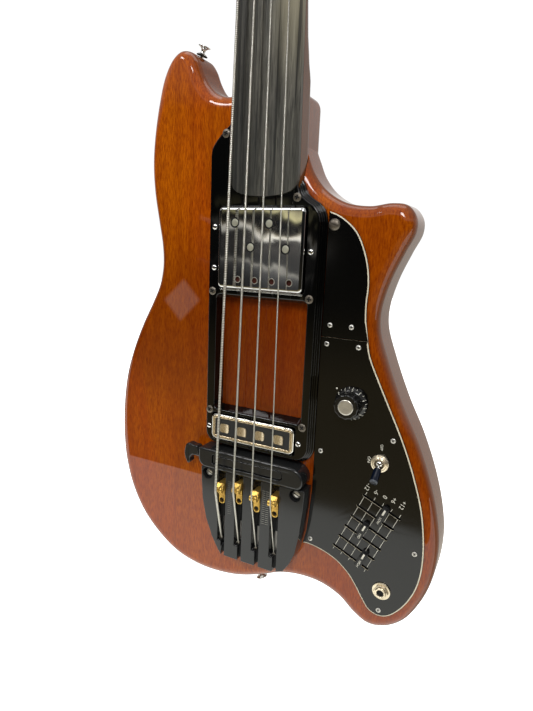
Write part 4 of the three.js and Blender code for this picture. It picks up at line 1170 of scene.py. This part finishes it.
def make_mute():
    outline = rounded([(-56.5, 14), (53.5, 14), (53.5, 33.5), (-56.5, 33.5)], [9, 6, 12, 3], 12)
    window = rounded([(-41, 19), (34, 19), (34, 28.5), (-41, 28.5)], [1.6, 4.6, 4.6, 1.6], 8)
    levels = [(-8, 2.0, 0.5), (-7.92, 1.45, 0.25), (-7.7, 0.95, 0.1), (-7.3, 0.5, 0), (-6.8, 0.2, 0),
              (-6.2, 0.03, 0), (-5.6, 0, 0), (COVER_BACK, 0, 0)]
    bore = along_x(turned([(3.3, -60), (3.3, -38)], 32))
    piece("mute_bar", slab(outline, levels, [window]), CAST_BLACK, replaces=("mute_housing",),
          cuts=(moved(bore, 0, *MUTE_AXIS),))
    pad_shape = rounded([(-40.1, 19.9), (33.1, 19.9), (33.1, 27.6), (-40.1, 27.6)], [1.2, 3.7, 3.7, 1.2], 8)
    pad = slab(pad_shape, [(-7.0, 0.7), (-6.94, 0.4), (-6.75, 0.12), (-6.4, 0), (-3.4, 0)])
    piece("mute_plunger", pad, MUTE_GREY, "mute_pad", replaces=("mute_pad",))
    hook_shape = spline([(-59.6, 22.4), (-59.6, 31.9), (-65, 32.4), (-70, 33.4), (-73.4, 31.2), (-75, 26),
                         (-75.2, 20.5), (-73.4, 15.4), (-70.6, 12), (-68.4, 14.2), (-68.2, 18.4),
                         (-65.4, 21.6)], True, 0.8)
    hook = slab(hook_shape, [(-5, 1.5), (-4.9, 1.0), (-4.65, 0.6), (-4.2, 0.25), (-3.6, 0), (2.6, 0),
                             (3.2, 0.25), (3.65, 0.6), (3.9, 1.0), (4, 1.5)])
    arm = soft_slab(rounded_box(-62.4, -57.3, 22, 31, 1, 4), -3.5, 3, 0.8, 0.8)
    hub = moved(along_x(turned([(0.1, -62.3), (3.4, -62.3), (4, -61.6), (4, -57.2), (3, -57.2), (3, -44),
                                (0.1, -44)], 40)), 0, *MUTE_AXIS)
    piece("mute_hook", joined(hook, arm, hub), CAST_BLACK, "mute_lever", replaces=("mute_lever",))


# ---- screws --------------------------------------------------------------------------------------

def dome(radius, height):
    """A screw head with its rim at y = 0: a dome of this height on a short cylinder."""
    steps = 6
    rim = 0.25
    out = []
    for k in range(steps + 1):
        a = math.pi / 2 * k / steps
        out.append((max(0.05, radius * math.sin(a)), -height * math.cos(a) ** 1.2 - rim))
    out += [(radius, 0.0), (radius * 0.9, 0.6), (0.05, 0.6)]
    return turned(out, 32)


def cross_outline(blade, reach):
    return [(blade, blade), (blade, reach), (-blade, reach), (-blade, blade), (-reach, blade),
            (-reach, -blade), (-blade, -blade), (-blade, -reach), (blade, -reach), (blade, -blade),
            (reach, -blade), (reach, blade)]


def phillips_head(radius, height):
    """A domed head with a cross recess, and a dark sheet of painted shade on the floor of the recess."""
    cross = cross_outline(radius * 0.24, radius * 0.62)
    tool = slab(cross, [(-height - 1, 0), (-height * 0.2, radius * 0.1)])
    floor = slab(cross, [(-height * 0.6, radius * 0.03), (-height * 0.1, radius * 0.03)])
    return boolean_shape(dome(radius, height), tool), floor


def slotted_head(radius, height):
    """A domed head with a straight slot, and a dark sheet of painted shade on the floor of the slot."""
    slot = box(-radius * 0.96, radius * 0.96, -radius * 0.15, radius * 0.15)
    tool = slab(slot, [(-height - 1, 0), (-height * 0.3, 0)])
    floor = slab(box(-radius * 0.8, radius * 0.8, -radius * 0.14, radius * 0.14),
                 [(-height * 0.6, 0), (-height * 0.25, 0)])
    return boolean_shape(dome(radius, height), tool), floor


def boolean_shape(shape, tool):
    """A small boolean that gives its result back as a shape."""
    made = mesh_object("screw_blank", at_row_origin(shape), 40)
    cutter = mesh_object("screw_tool", at_row_origin(tool), 40)
    step = made.modifiers.new("cut", "BOOLEAN")
    step.object = cutter
    step.solver = "EXACT"
    evaluated = made.evaluated_get(bpy.context.evaluated_depsgraph_get())
    mesh = evaluated.to_mesh()
    verts = [tuple(v.co / MM) for v in mesh.vertices]
    faces = [tuple(p.vertices) for p in mesh.polygons]
    evaluated.to_mesh_clear()
    for used in (made, cutter):
        bpy.data.objects.remove(used)
    return verts, faces


def at_row_origin(shape):
    return moved(shape, 0, 0, HANGER_HEIGHT)


def screws(name, shape, recess_shade, places, look, face_y, slot):
    """Puts copies of one screw head at the places, each turned a little differently, with painted shade in
    their recesses.
    """
    spins = random.Random(7)
    recess_shades = []
    for i, (x, z) in enumerate(places):
        turn = rotation("Y", spins.uniform(0, 90))
        piece(f"{name}_{i}", moved(shape, x, face_y, z, turn), look)
        recess_shades.append(moved(recess_shade, x, face_y, z, turn))
    # Dark sheets of painted shade in the recesses.
    piece(f"{name}_recesses", joined(*recess_shades), PAINTED_SHADE_BLACK)


# ---- pickups and their frame ---------------------------------------------------------------------

def make_frame_plate():
    """The plate round both pickups, and the small screws in it."""
    corner = 12
    low = 38.4
    right = spline([(53, 247), (51.2, 254.6), (47, 260), (40.5, 264), (34, 270), (31, 277)], False, 1.2)
    left = spline([(-31, 330), (-34.5, 327), (-42, 320.5), (-48.5, 313.5), (-52, 308), (-53, 302)],
                  False, 1.2)
    outline = [
        *arc(53 - corner, low + corner, corner, -90, 0, 16), *right, (16, 300), (-16, 320), *left,
        *arc(-53 + corner, low + corner, corner, 180, 270, 16),
    ]
    levels = [
        (0, 1.1, 0.5), (0.06, 0.75, 0.3), (0.22, 0.4, 0.12), (0.5, 0.12, 0), (0.9, 0, 0), (3.2, 0, 0),
        (3.3, -0.5, 0), (3.5, -0.8, 0), (3.9, -0.95, 0), (5.4, -0.95, 0), (5.5, -1.5, 0), (5.7, -1.8, 0),
        (6.1, -1.95, 0), (7.7, -1.95, 0), (7.8, -2.8, 0), (8.1, -3.2, 0), (8.6, -3.4, 0),
        (COVER_BACK, -3.4, 0),
    ]
    holes = [rounded_box(-42.2, 42.2, 187.4, 259.6, 3.4), rounded_box(-46.4, 41.4, 42.2, 69.2, 3)]
    window = slab(rounded_box(-44.5, 45.3, 72.6, 181.6, 4, 10), [
        (-1, -2.4), (0, -1.4), (0.15, -0.9), (0.5, -0.45), (1.1, -0.15), (2, 0), (3, 0), (COVER_BACK + 1, 3),
    ])
    piece("pickup_surround", slab(outline, levels, holes), FRAME_BLACK, replaces=("pickup_frame",),
          cuts=(
              window,
              slab(board_outline(GAP), [(-5, 0), (NECK_FACE, 0)]),
              slab(heel_outline(GAP), [(NECK_FACE - 1, 0), (20, 0)]),
          ))
    screws("surround_screw", *phillips_head(3.7, 1.0), FRAME_SCREWS, SCREW_DARK, 0, "steel")
    screws("height_screw", *slotted_head(2.6, 1.3), HEIGHT_SCREWS, CHROME, 0, "chrome")


def make_neck_pickup():
    """The mirror-like cover with its four large poles and the row of four open wells."""
    shape = rounded_box(*COVER_BOX, 4.2, 10)
    levels = [(-4.5, 2.8), (-4.4, 2.1), (-4.12, 1.3), (-3.6, 0.7), (-2.9, 0.25), (-2.1, 0.05), (-1.4, 0),
              (24, 0)]
    holes = [bolt_hole(x, z, 2.4, -6, 0) for x, z in COVER_WELLS]
    holes += [bolt_hole(x, z, 4.1, -6, 0) for x, z in COVER_POLES]
    hollow = slab(inset(rounded_box(*COVER_BOX, 3), 1.5), [(-2.8, 0), (26, 0)])
    piece("pickup_cover", slab(shape, levels), MIRROR_CHROME, replaces=("neck_pickup_cover",),
          cuts=(hollow, *holes))
    for i, (x, z) in enumerate(COVER_POLES):
        pole = turned([(0.05, -4.75), (2.2, -4.7), (2.9, -4.5), (3.25, -4.1), (3.3, -3.6), (3.3, 2),
                       (0.05, 2)], 32)
        piece(f"cover_pole_{i}", moved(pole, x, 0, z), POLE_GREY)
    for i, (x, z) in enumerate(COVER_WELLS):
        rim = turned_ring([(2.4, -4.35), (2.55, -4.62), (2.95, -4.62), (3.1, -4.45), (2.9, -4.3)], 32)
        piece(f"cover_rim_{i}", moved(rim, x, 0, z), NICKEL)
        floor = slab(circle(x, z, 2.9, 24), [(-1.6, 0.4), (-1.4, 0), (2, 0)])
        piece(f"cover_well_{i}", floor, BOBBIN)
    # Painted shade: a dark ring in the gap round each pole.
    gaps = [moved(turned_ring([(3.34, -4.0), (3.34, -4.57), (4.5, -4.57), (4.5, -4.0)], 40), x, 0, z)
            for x, z in COVER_POLES]
    piece("cover_pole_gaps", joined(*gaps), PAINTED_SHADE_BLACK)
    trim = slab(rounded_box(-41, 41, 186.3, 187.5, 0.5, 4), [(-0.5, 0.2), (-0.35, 0), (1, 0)])
    piece("cover_trim", trim, CHROME)


def make_bridge_pickup():
    shape = rounded_box(-45.6, 40.6, 43.2, 68.2, 5, 10)
    rim_levels = [(-1.9, 1.2, 0.2), (-1.84, 0.85, 0), (-1.6, 0.5, 0), (-1.2, 0.2, 0), (-0.7, 0.03, 0),
                  (22, 0, 0)]
    piece("bezel", slab(shape, rim_levels, [inset(shape, 1.7)]), BEZEL_CHROME,
          replaces=("bridge_pickup_bezel",))
    inner = inset(shape, 1.6)
    face_levels = [(-2.2, 0.6, 0.6), (-2.1, 0.3, 0.3), (-1.8, 0.05, 0.05), (-1.5, 0, 0), (10, 0, 0)]
    # The inner face is chrome with a painted warm reflection.
    piece("bezel_face", slab(inner, face_levels, [inset(shape, 4)]), BEZEL_PAINTED_REFLECTION)
    poles = (-31.5, -12.8, 6.1, 25.2)
    holes = [rounded_box(x - 5.1, x + 5.1, 50.2, 59.2, 2.2, 4) for x in poles]
    insert = slab(rounded_box(-42, 37, 46.8, 64.6, 2, 6),
                  [(-1, 0.6, 0), (-0.9, 0.25, 0), (-0.6, 0, 0), (18, 0, 0)], holes)
    piece("pickup_insert", insert, INSERT_BLACK, replaces=("bridge_pickup_insert",))
    for i, x in enumerate(poles):
        pole = slab(rounded_box(x - 4.9, x + 4.9, 50.4, 59, 2, 5),
                    [(-1.9, 0.7), (-1.83, 0.4), (-1.6, 0.12), (-1.2, 0), (3, 0)])
        groove = moved(along_z(turned([(9, -7), (9, 7)], 64)), x, -9.8, 54.7)
        piece(f"blade_pole_{i}", pole, WARM_NICKEL, cuts=(groove,))


# ---- plates --------------------------------------------------------------------------------------

def plate_outline():
    return [*PLATE_OUTLINE[:3], *spline(PLATE_OUTLINE[3:], False, 2)]


def guard_outline():
    return [*GUARD_OUTLINE[1:3], *spline([*GUARD_OUTLINE[3:], GUARD_OUTLINE[0]], False, 2)]


def eq_point(x, z):
    """A point of the turned equaliser grid in the instrument's own frame."""
    turn = math.radians(EQ_TURN)
    return (EQ_CENTRE[0] + x * math.cos(turn) + z * math.sin(turn),
            EQ_CENTRE[1] - x * math.sin(turn) + z * math.cos(turn))


def eq_slots():
    """Six parallel slots, two for each slider."""
    shapes = []
    for i in range(6):
        z = (2.5 - i) * EQ_PITCH
        shape = rounded_box(-EQ_LENGTH / 2, EQ_LENGTH / 2, z - 1.25, z + 1.25, 1.1, 5)
        shapes.append([eq_point(x, z) for x, z in shape])
    return shapes


def ply_plate(name, outline, straight, holes, node):
    """A black plate with a thin white core that shows in its bevel, but not along its straight sides."""
    weights = [0 if i < straight or i == len(outline) - 1 else 1 for i in range(len(outline))]
    base = slab(outline, [(PLATE_FACE + 0.8, 0.12, 0), (PLATE_FACE + 1.0, 0, 0), (COVER_BACK, 0, 0)],
                holes, weights)
    core = slab(outline, [(PLATE_FACE + 0.25, 1.1, 0), (PLATE_FACE + 0.85, 0.1, 0)], holes, weights)
    top = slab(outline, [(PLATE_FACE, 1.4, 0.12), (PLATE_FACE + 0.05, 1.3, 0.03), (PLATE_FACE + 0.3, 1.1, 0)],
               holes, weights)
    piece(f"{name}_core", core, PLY_WHITE)
    piece(f"{name}_face", joined(base, top), PLATE_BLACK, replaces=(node,))


def make_plates():
    holes = [*eq_slots(), circle(*KNOB, 5), circle(*TOGGLE, 5.4), circle(*JACK, 5.2)]
    ply_plate("control_plate", plate_outline(), 4, holes, "control_plate")
    ply_plate("pickguard", guard_outline(), 2, [circle(*THUMBSCREW, 2.4, 32)], "upper_pickguard")
    screws("plate_screw", *phillips_head(2.2, 0.7), PLATE_SCREWS, SCREW_NICKEL, PLATE_FACE, "steel")
    profile = [(0.05, 6.2), (1.6, 6.25), (2.8, 6.5), (3.9, 6.95), (4.6, 7.5), (5, 8.2), (5, 8.6), (2, 8.6),
               (2, 11.2), (0.05, 11.2)]
    x, z = THUMBSCREW
    slot = moved(slab(box(-6, 6, -0.7, 0.7), [(5, 0), (7.2, 0)]), x, 0, z, rotation("Y", 18))
    piece("guard_thumbscrew", moved(turned(profile, 48), x, 0, z), SCREW_DARK,
          replaces=("pickguard_screw",), cuts=(slot,))


# ---- controls ------------------------------------------------------------------------------------

def make_knob():
    skirt = turned([(0.05, 3.6), (11.0, 3.6), (11.8, 3.85), (13.2, 5), (14.1, 6.3), (14.45, 7.3), (14.5, 7.9),
                    (14.3, 8.6), (0.05, 8.6)], 72)
    fluted = []
    for k in range(144):
        a = 2 * math.pi * k / 144
        r = 10.7 + 0.26 * math.cos(12 * a)
        fluted.append((r * math.cos(a), r * math.sin(a)))
    grip = slab(fluted, [(-6.6, 1.5), (-6.5, 1.0), (-6.25, 0.55), (-5.8, 0.2), (-5.2, 0), (4.6, -0.6)])
    shape = moved(joined(skirt, grip), KNOB[0], 0, KNOB[1])
    piece("knob_body", shape, KNOB_BLACK, "volume_knob", replaces=("volume_knob",),
          sharp=50)
    cap = turned([(0.05, -7.15), (5.6, -7.4), (6.2, -7.3), (6.6, -6.9), (6.6, -5), (0.05, -5)], 64)
    piece("knob_cap", moved(cap, KNOB[0], 0, KNOB[1]), SPUN, "volume_knob")
    pointer = math.degrees(math.atan2(108 - KNOB[1], 74.5 - KNOB[0]))
    tilt = math.degrees(math.atan2(1.2, 1.4))
    marks = []
    for number in range(11):
        angle = pointer - 30 * number
        a = math.radians(angle)
        on_skirt = rotation("Y", 90 - angle) @ rotation("X", -tilt)
        lettering(f"knob_number_{number}", str(number), 2.8, PRINT_WHITE, KNOB[0] + 12.5 * math.cos(a), 4.24,
                  KNOB[1] + 12.55 * math.sin(a), 0, "volume_knob", on_skirt)
        for half in (0, 15):
            b = math.radians(angle - half)
            if number == 10 and half:
                continue
            inner = Vector((KNOB[0] + 13.4 * math.cos(b), 5.24, KNOB[1] + 13.4 * math.sin(b)))
            outer = Vector((KNOB[0] + 14.3 * math.cos(b), 6.62, KNOB[1] + 14.3 * math.sin(b)))
            marks.append(sweep([inner, outer], 0.2, 6))
    piece("knob_ticks", joined(*marks), PRINT_WHITE, "volume_knob")
    dot = turned([(0.05, 8.72), (0.7, 8.74), (0.8, 8.9), (0.05, 8.95)], 24)
    piece("knob_index_dot", moved(dot, 74.0, 0, 109.0), PRINT_WHITE)


def make_toggle():
    x, z = TOGGLE
    rings = turned_ring([(3.9, 4.5), (4.1, 4.25), (4.6, 4.25), (5.0, 4.5), (5.05, 5.4), (5.5, 5.75),
                         (6.0, 5.6), (6.4, 5.9), (6.9, 6.0), (7.3, 6.1), (7.7, 6.5), (7.8, 7.2), (7.8, 8.6),
                         (5, 8.6), (5, 13), (3.9, 13)], 64)
    piece("toggle_ring", moved(rings, x, 0, z), WARM_CHROME, replaces=("toggle_bushing",))
    lean = Matrix.Translation((x, TOGGLE_PIVOT_Y, z)) @ rotation("X", TOGGLE_LEAN)
    ball = [(max(0.05, 3.5 * math.sin(a)), 0.6 - 3.5 * math.cos(a)) for a in
            (math.pi * k / 16 for k in range(17))]
    ball = [(r, y) for r, y in ball if y < 3.2]
    stem = turned([(0.05, -17.5), (1.5, -17.5), (1.5, 0.4), (0.05, 0.4)], 24)
    piece("toggle_stem", moved(joined(turned([*ball, (0.05, 3.3)], 40), stem), matrix=lean), CHROME,
          "toggle_lever", replaces=("toggle_lever",))
    sleeve = turned([(0.05, -19.6), (2.0, -19.55), (2.7, -19.2), (3.15, -18.6), (3.3, -17.8), (3.3, -6.6),
                     (3.1, -6.0), (2.7, -5.7), (0.05, -5.6)], 40)
    piece("toggle_sleeve", moved(sleeve, matrix=lean), BLUE_SLEEVE, "toggle_lever")
    tip = turned_ring([(2.5, -19.45), (2.8, -19.28), (3.2, -18.75), (3.34, -18.3), (3.34, -18.0),
                       (2.5, -18.0)], 40)
    piece("toggle_tip_ring", moved(tip, matrix=lean), TIP_GREY, "toggle_lever")
    lettering("toggle_label_on", "ON", 3.6, PRINT_WHITE, 107, PLATE_FACE - 0.02, 51, 270)
    lettering("toggle_label_off", "OFF", 3.2, PRINT_WHITE, 117, PLATE_FACE - 0.02, 64, 270)


def make_equaliser():
    lines = []
    for k in range(5):
        x = (k - 2) * 8.3
        for i in range(7):
            upper = (3.5 - i) * EQ_PITCH - 1.4 if i else 2.5 * EQ_PITCH + 4.5
            lower = (2.5 - i) * EQ_PITCH + 1.4 if i < 6 else -2.5 * EQ_PITCH - 4
            lines.append(slab(box(x - 0.2, x + 0.2, lower, upper),
                              [(PLATE_FACE - 0.03, 0.03), (PLATE_FACE + 0.1, 0)]))
    piece("eq_lines", placed_eq(joined(*lines)), PRINT_WHITE)
    numbers = (("-12", 108, 26), ("-6", 116, 23), ("0", 123.5, 20.5), ("+6", 131.4, 19.4), ("+12", 139, 17))
    for k, (text, x, z) in enumerate(numbers):
        lettering(f"eq_number_{k}", text, 5.3, PRINT_WHITE, x, PLATE_FACE - 0.02, z, 270 - EQ_TURN)
    for index, (band, word) in enumerate((("low", "LOW"), ("mid", "MID"), ("high", "HIGH"))):
        rest = SLIDER_REST[index]
        z = (1 - index) * 2 * EQ_PITCH
        reach = EQ_PITCH / 2
        cap = slab(rounded_box(-3, 3, z - reach - 3, z + reach + 3, 1, 5),
                   [(PLATE_FACE - 3, 0.8), (PLATE_FACE - 2.93, 0.5), (PLATE_FACE - 2.7, 0.2),
                    (PLATE_FACE - 2.3, 0), (PLATE_FACE - GAP, 0)])
        tab = slab(rounded_box(-1.8, 1.8, z + reach - 3, z + reach + 3, 0.6, 4),
                   [(PLATE_FACE - 6.2, 0.8), (PLATE_FACE - 6.1, 0.45), (PLATE_FACE - 5.7, 0.1),
                    (PLATE_FACE - 5.3, 0), (PLATE_FACE - 2.5, -0.6)])
        stems = [slab(box(-1.6, 1.6, m - 0.7, m + 0.7), [(PLATE_FACE - 1, 0), (13, 0)])
                 for m in (z - reach, z + reach)]
        shape = moved(joined(cap, tab, *stems), rest, 0, 0)
        body = f"eq_slider_{band}"
        piece(f"slider_cap_{band}", placed_eq(shape), BLACK_PLASTIC, body, replaces=(body,))
        stripe = slab(rounded_box(rest - 0.85, rest + 0.85, z + reach - 2.7, z + reach + 2.7, 0.3, 3),
                      [(PLATE_FACE - 6.27, 0.1), (PLATE_FACE - 6.1, 0)])
        piece(f"slider_stripe_{band}", placed_eq(stripe), PRINT_WHITE, body)
        text_x, text_z = eq_point(rest, z - reach + 1.2)
        lettering(f"slider_word_{band}", word, 3.0, PRINT_WHITE, text_x, PLATE_FACE - 3.02, text_z,
                  270 - EQ_TURN, body)


def make_jack():
    x, z = JACK
    barrel = turned_ring([(3.2, 4.2), (3.5, 3.9), (4.4, 3.9), (4.7, 4.2), (4.7, 12), (8, 12), (8, 34),
                          (3.2, 34)], 48)
    piece("jack_barrel", moved(barrel, x, 0, z), WARM_CHROME, replaces=("jack_socket",))
    # Painted shade: a dark disc deep in the barrel's bore.
    plug_well = slab(circle(x, z, 3.3, 32), [(5.6, 0), (6.2, 0)])
    piece("jack_well", plug_well, PAINTED_SHADE_BLACK)
    hexagon = [(6.8 * math.cos(a), 6.8 * math.sin(a)) for a in (math.pi * k / 3 for k in range(6))]
    nut = slab(rounded(hexagon, 0.5, 4), [(5.6, 0.7), (5.7, 0.35), (6.0, 0.05), (6.2, 0), (8, 0)],
               [circle(0, 0, 5, 48)])
    washer = turned_ring([(5, 7.7), (7.6, 7.6), (8, 7.9), (8, 8.6), (5, 8.6)], 56)
    piece("jack_hex_nut", moved(joined(nut, washer), x, 0, z), WARM_CHROME, replaces=("jack_nut",))


# ---- strap buttons and back ----------------------------------------------------------------------

def make_strap_buttons():
    profile = [(0.05, -22), (2, -20), (2, 0.8), (4.0, 0.8), (4.2, 1.0), (4.2, 1.9), (3.6, 2.2), (2.5, 2.5),
               (2.15, 3.2), (2.0, 4.4), (2.3, 5.6), (3.1, 6.7), (4.3, 7.4), (5.5, 7.7), (5.75, 7.95),
               (5.8, 8.4), (5.6, 8.75), (3.0, 8.8), (2.2, 8.5), (0.05, 8.4)]
    for side, node, x, z, tilt in (("upper", "strap_button_upper", -87.2, 396, 20),
                                   ("lower", "strap_button_lower", -5, -104.9, 160)):
        place = Matrix.Translation((x, BODY_MIDDLE, z)) @ rotation("Y", tilt)
        piece(f"strap_peg_{side}", moved(along_z(turned(profile, 48)), matrix=place), CHROME,
              replaces=(node,))
        rim = [(4.3, 0.2), (4.9, 0.2), (5.2, 0.5), (5.1, 1.1), (4.8, 1.3), (4.3, 1.3)]
        washer = along_z(turned_ring(rim, 40))
        piece(f"strap_felt_{side}", moved(washer, matrix=place), FELT)


def make_battery_lid():
    outline = rounded_box(60.3, 101.7, -41.7, 31.7, 4.7, 8)
    levels = [(55, 0), (BODY_BACK - 0.7, 0), (BODY_BACK - 0.25, 0.15), (BODY_BACK, 0.6)]
    latch = slab(rounded_box(74, 88, 22, 29, 3, 6), [(BODY_BACK - 1.6, 0), (BODY_BACK + 1, 0)])
    ribs = [slab(rounded_box(66, 96, z - 0.5, z + 0.5, 0.45, 3), [(BODY_BACK - 0.5, 0), (BODY_BACK + 1, 0)])
            for z in range(-34, 16, 6)]
    piece("battery_door", slab(outline, levels), BLACK_PLASTIC, replaces=("battery_lid",),
          cuts=(latch, *ribs))


# ---- looks of the CAD nodes that are kept --------------------------------------------------------

def finish_kept_nodes():
    looks = {
        "truss_rod": STEEL, "neck_pickup_coil": BOBBIN, "bridge_pickup_coil": BOBBIN, "volume_pot": STEEL,
        # The slider pot bank is near black: painted shade under the slider slots.
        "toggle_switch_body": BLACK_PLASTIC, "slider_pot_bank": PAINTED_SHADE_BLACK, "preamp_board": CIRCUIT,
        "battery": BATTERY_FOIL,
    }
    for name, look in looks.items():
        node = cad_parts[name]
        node.data.materials.clear()
        node.data.materials.append(look)


# ---- stage ---------------------------------------------------------------------------------------

def glowing(name, color, strength):
    material = bpy.data.materials.new(name)
    material.use_nodes = True
    shader = material.node_tree.nodes["Principled BSDF"]
    shader.inputs["Base Color"].default_value = (*color, 1)
    shader.inputs["Roughness"].default_value = 0.9
    shader.inputs["Emission Color"].default_value = (*color, 1)
    shader.inputs["Emission Strength"].default_value = strength
    return material


def plane(name, corners, color, strength):
    mesh = bpy.data.meshes.new(name)
    z = (FLOOR_Z - HANGER_HEIGHT) * MM
    x0, x1, y0, y1 = corners
    mesh.from_pydata([(x0, y0, z), (x1, y0, z), (x1, y1, z), (x0, y1, z)], [], [(0, 1, 2, 3)])
    made = bpy.data.objects.new(name, mesh)
    mesh.materials.append(glowing(name, color, strength))
    bpy.context.scene.collection.objects.link(made)
    return made


def make_floor():
    """A plain white floor, and below the playing side a bright strip that only reflections see."""
    floor = plane("floor", (-5, 5, -5, 6), (1, 1, 1), 1)
    floor.visible_glossy = False
    floor.visible_diffuse = False
    strip = plane("floor_strip", (-5, 5, -0.589, 0.1), (0.59, 0.595, 0.555), 1.85)
    strip.visible_camera = False


def area_light(name, place, target, size, power):
    light = bpy.data.lights.new(name, "AREA")
    light.shape = "RECTANGLE"
    light.size, light.size_y = size
    light.energy = power
    made = bpy.data.objects.new(name, light)
    made.location = place
    made.rotation_mode = "QUATERNION"
    made.rotation_quaternion = (Vector(target) - Vector(place)).to_track_quat("-Z", "Y")
    bpy.context.scene.collection.objects.link(made)


def make_lights():
    middle = (0, 0, -0.75)
    area_light("key", (0.5, -1.45, 0.35), middle, (0.5, 0.5), 13.5)
    area_light("fill", (-0.9, -1.3, 0.6), middle, (0.35, 0.45), 8)
    area_light("top", (0, 0.3, 1.2), middle, (1.5, 1.0), 7)


def make_world():
    """White for the eye. Reflections see a dim room, with a window's light in front of the pickups."""
    world = bpy.data.worlds.new("studio")
    bpy.context.scene.world = world
    world.use_nodes = True
    tree = world.node_tree
    new, link = tree.nodes.new, tree.links.new
    direction = new("ShaderNodeTexCoord").outputs["Generated"]

    def ramp(value, low, high, *stops):
        span = new("ShaderNodeMapRange")
        span.inputs["From Min"].default_value = low
        span.inputs["From Max"].default_value = high
        link(value, span.inputs["Value"])
        stops = [((place - low) / (high - low), color) for place, color in stops]
        return ramped(tree, span.outputs["Result"], stops)

    def mix(*values):
        return mixed(tree, *values)

    def along(vector):
        """How far a direction goes along a vector."""
        node = new("ShaderNodeVectorMath")
        node.operation = "DOT_PRODUCT"
        node.inputs[1].default_value = vector
        link(direction, node.inputs[0])
        return node.outputs["Value"]

    split = new("ShaderNodeSeparateXYZ")
    link(direction, split.inputs[0])
    depth = ramp(split.outputs["Y"], -1, 1, (-0.1, 0), (0.25, 0.5), (0.6, 1))
    front = ramp(split.outputs["Z"], -1, 1, (-0.5, (0.34, 0.28, 0.16)), (-0.25, (0.26, 0.21, 0.11)),
                 (-0.12, (0.03, 0.026, 0.016)), (0.0, 0.006), (0.22, 0.03),
                 (0.4, 1.0), (0.9, 1.8))
    behind = ramp(split.outputs["Z"], -1, 1, (-0.3, (0.62, 0.57, 0.50)), (0.0, (0.72, 0.69, 0.64)),
                  (0.6, 1.4))
    room = mix(depth, front, behind)

    def near(place, inside, outside):
        distance = new("ShaderNodeVectorMath")
        distance.operation = "DISTANCE"
        distance.inputs[1].default_value = place
        link(direction, distance.inputs[0])
        return ramp(distance.outputs["Value"], 0, 0.4, (inside, 1), (outside, 0))

    noise = new("ShaderNodeTexNoise")
    noise.inputs["Scale"].default_value = 16
    noise.inputs["Detail"].default_value = 3
    noise.inputs["Distortion"].default_value = 0.6
    link(direction, noise.inputs["Vector"])
    tilted_height = along((0.16, 0, 1))
    bent = new("ShaderNodeMath")
    bent.operation = "MULTIPLY_ADD"
    bent.inputs[1].default_value = 0.09
    link(noise.outputs["Fac"], bent.inputs[0])
    link(tilted_height, bent.inputs[2])
    cards = ramp(bent.outputs[0], -0.2, 0.1, (-0.100, 0.05), (-0.072, 0.13),
                 (-0.068, (0.65, 0.62, 0.55)), (-0.063, 0.06), (-0.030, (0.10, 0.095, 0.09)),
                 (-0.012, 0.04), (-0.009, (1.2, 1.16, 1.05)), (0.000, (1.7, 1.6, 1.4)),
                 (0.003, (0.25, 0.20, 0.11)), (0.010, 0.015), (0.034, (0.02, 0.02, 0.025)),
                 (0.038, (0.9, 0.82, 0.45)), (0.050, (0.55, 0.5, 0.3)), (0.056, 0.05))
    across = ramp(split.outputs["X"], -0.6, -0.3, (-0.50, 0.35), (-0.45, 1))
    cards = mix(1, cards, across, "MULTIPLY")
    room = mix(near((-0.46, -0.885, 0.0), 0.112, 0.125), room, cards)
    slopes = []
    for tilt in (26, -26):
        middle = -0.580 * 38 - 0.104 * tilt
        slopes.append(ramp(along((38, 0, tilt)), middle - 2, middle + 2, (middle - 1.1, 0),
                           (middle - 0.85, 1), (middle + 0.85, 1), (middle + 1.1, 0)))
    in_front = ramp(split.outputs["Y"], -1, 1, (-0.2, 1), (0.0, 0))
    diamond = mix(1, mix(1, *slopes, "MULTIPLY"), in_front, "MULTIPLY")
    room = mix(diamond, room, (1.0, 0.95, 0.85))

    seen = tree.nodes["Background"]
    seen.inputs["Color"].default_value = (1, 1, 1, 1)
    seen.inputs["Strength"].default_value = 1.05
    around = new("ShaderNodeBackground")
    dim = ramp(split.outputs["Z"], -1, 1, (0.25, 1), (0.5, 0.3))
    link(mix(1, room, dim, "MULTIPLY"), around.inputs["Color"])
    soft = new("ShaderNodeBackground")
    link(room, soft.inputs["Color"])
    soft.inputs["Strength"].default_value = 0.46
    rays = new("ShaderNodeLightPath")
    surface = around.outputs[0]
    for ray, other in (("Is Diffuse Ray", soft), ("Is Camera Ray", seen)):
        pick = new("ShaderNodeMixShader")
        link(rays.outputs[ray], pick.inputs[0])
        link(surface, pick.inputs[1])
        link(other.outputs[0], pick.inputs[2])
        surface = pick.outputs[0]
    link(surface, tree.nodes["World Output"].inputs["Surface"])


def make_camera():
    data = bpy.data.cameras.new("camera")
    data.sensor_width = 36
    data.lens = 26.93
    camera = bpy.data.objects.new("camera", data)
    forward = Vector((-0.43610, 0.87699, -0.20176))
    up = Vector((-0.12686, 0.16205, 0.97859))
    right = forward.cross(up)
    turn = Matrix((right, up, -forward)).transposed().to_4x4()
    place = Vector((216.41, -416.34, 226.72 - HANGER_HEIGHT)) * MM
    camera.matrix_world = Matrix.Translation(place) @ turn
    bpy.context.scene.collection.objects.link(camera)
    bpy.context.scene.camera = camera


make_camera()
make_world()
make_lights()
make_floor()
make_body()
make_neck()
make_fingerboard()
make_nut()
make_head_plates()
make_tuners()
make_strings()
make_bridge()
make_saddles()
make_mute()
make_frame_plate()
make_neck_pickup()
make_bridge_pickup()
make_plates()
make_knob()
make_toggle()
make_equaliser()
make_jack()
make_strap_buttons()
make_battery_lid()
finish_kept_nodes()
bpy.context.scene.view_settings.view_transform = "Standard"
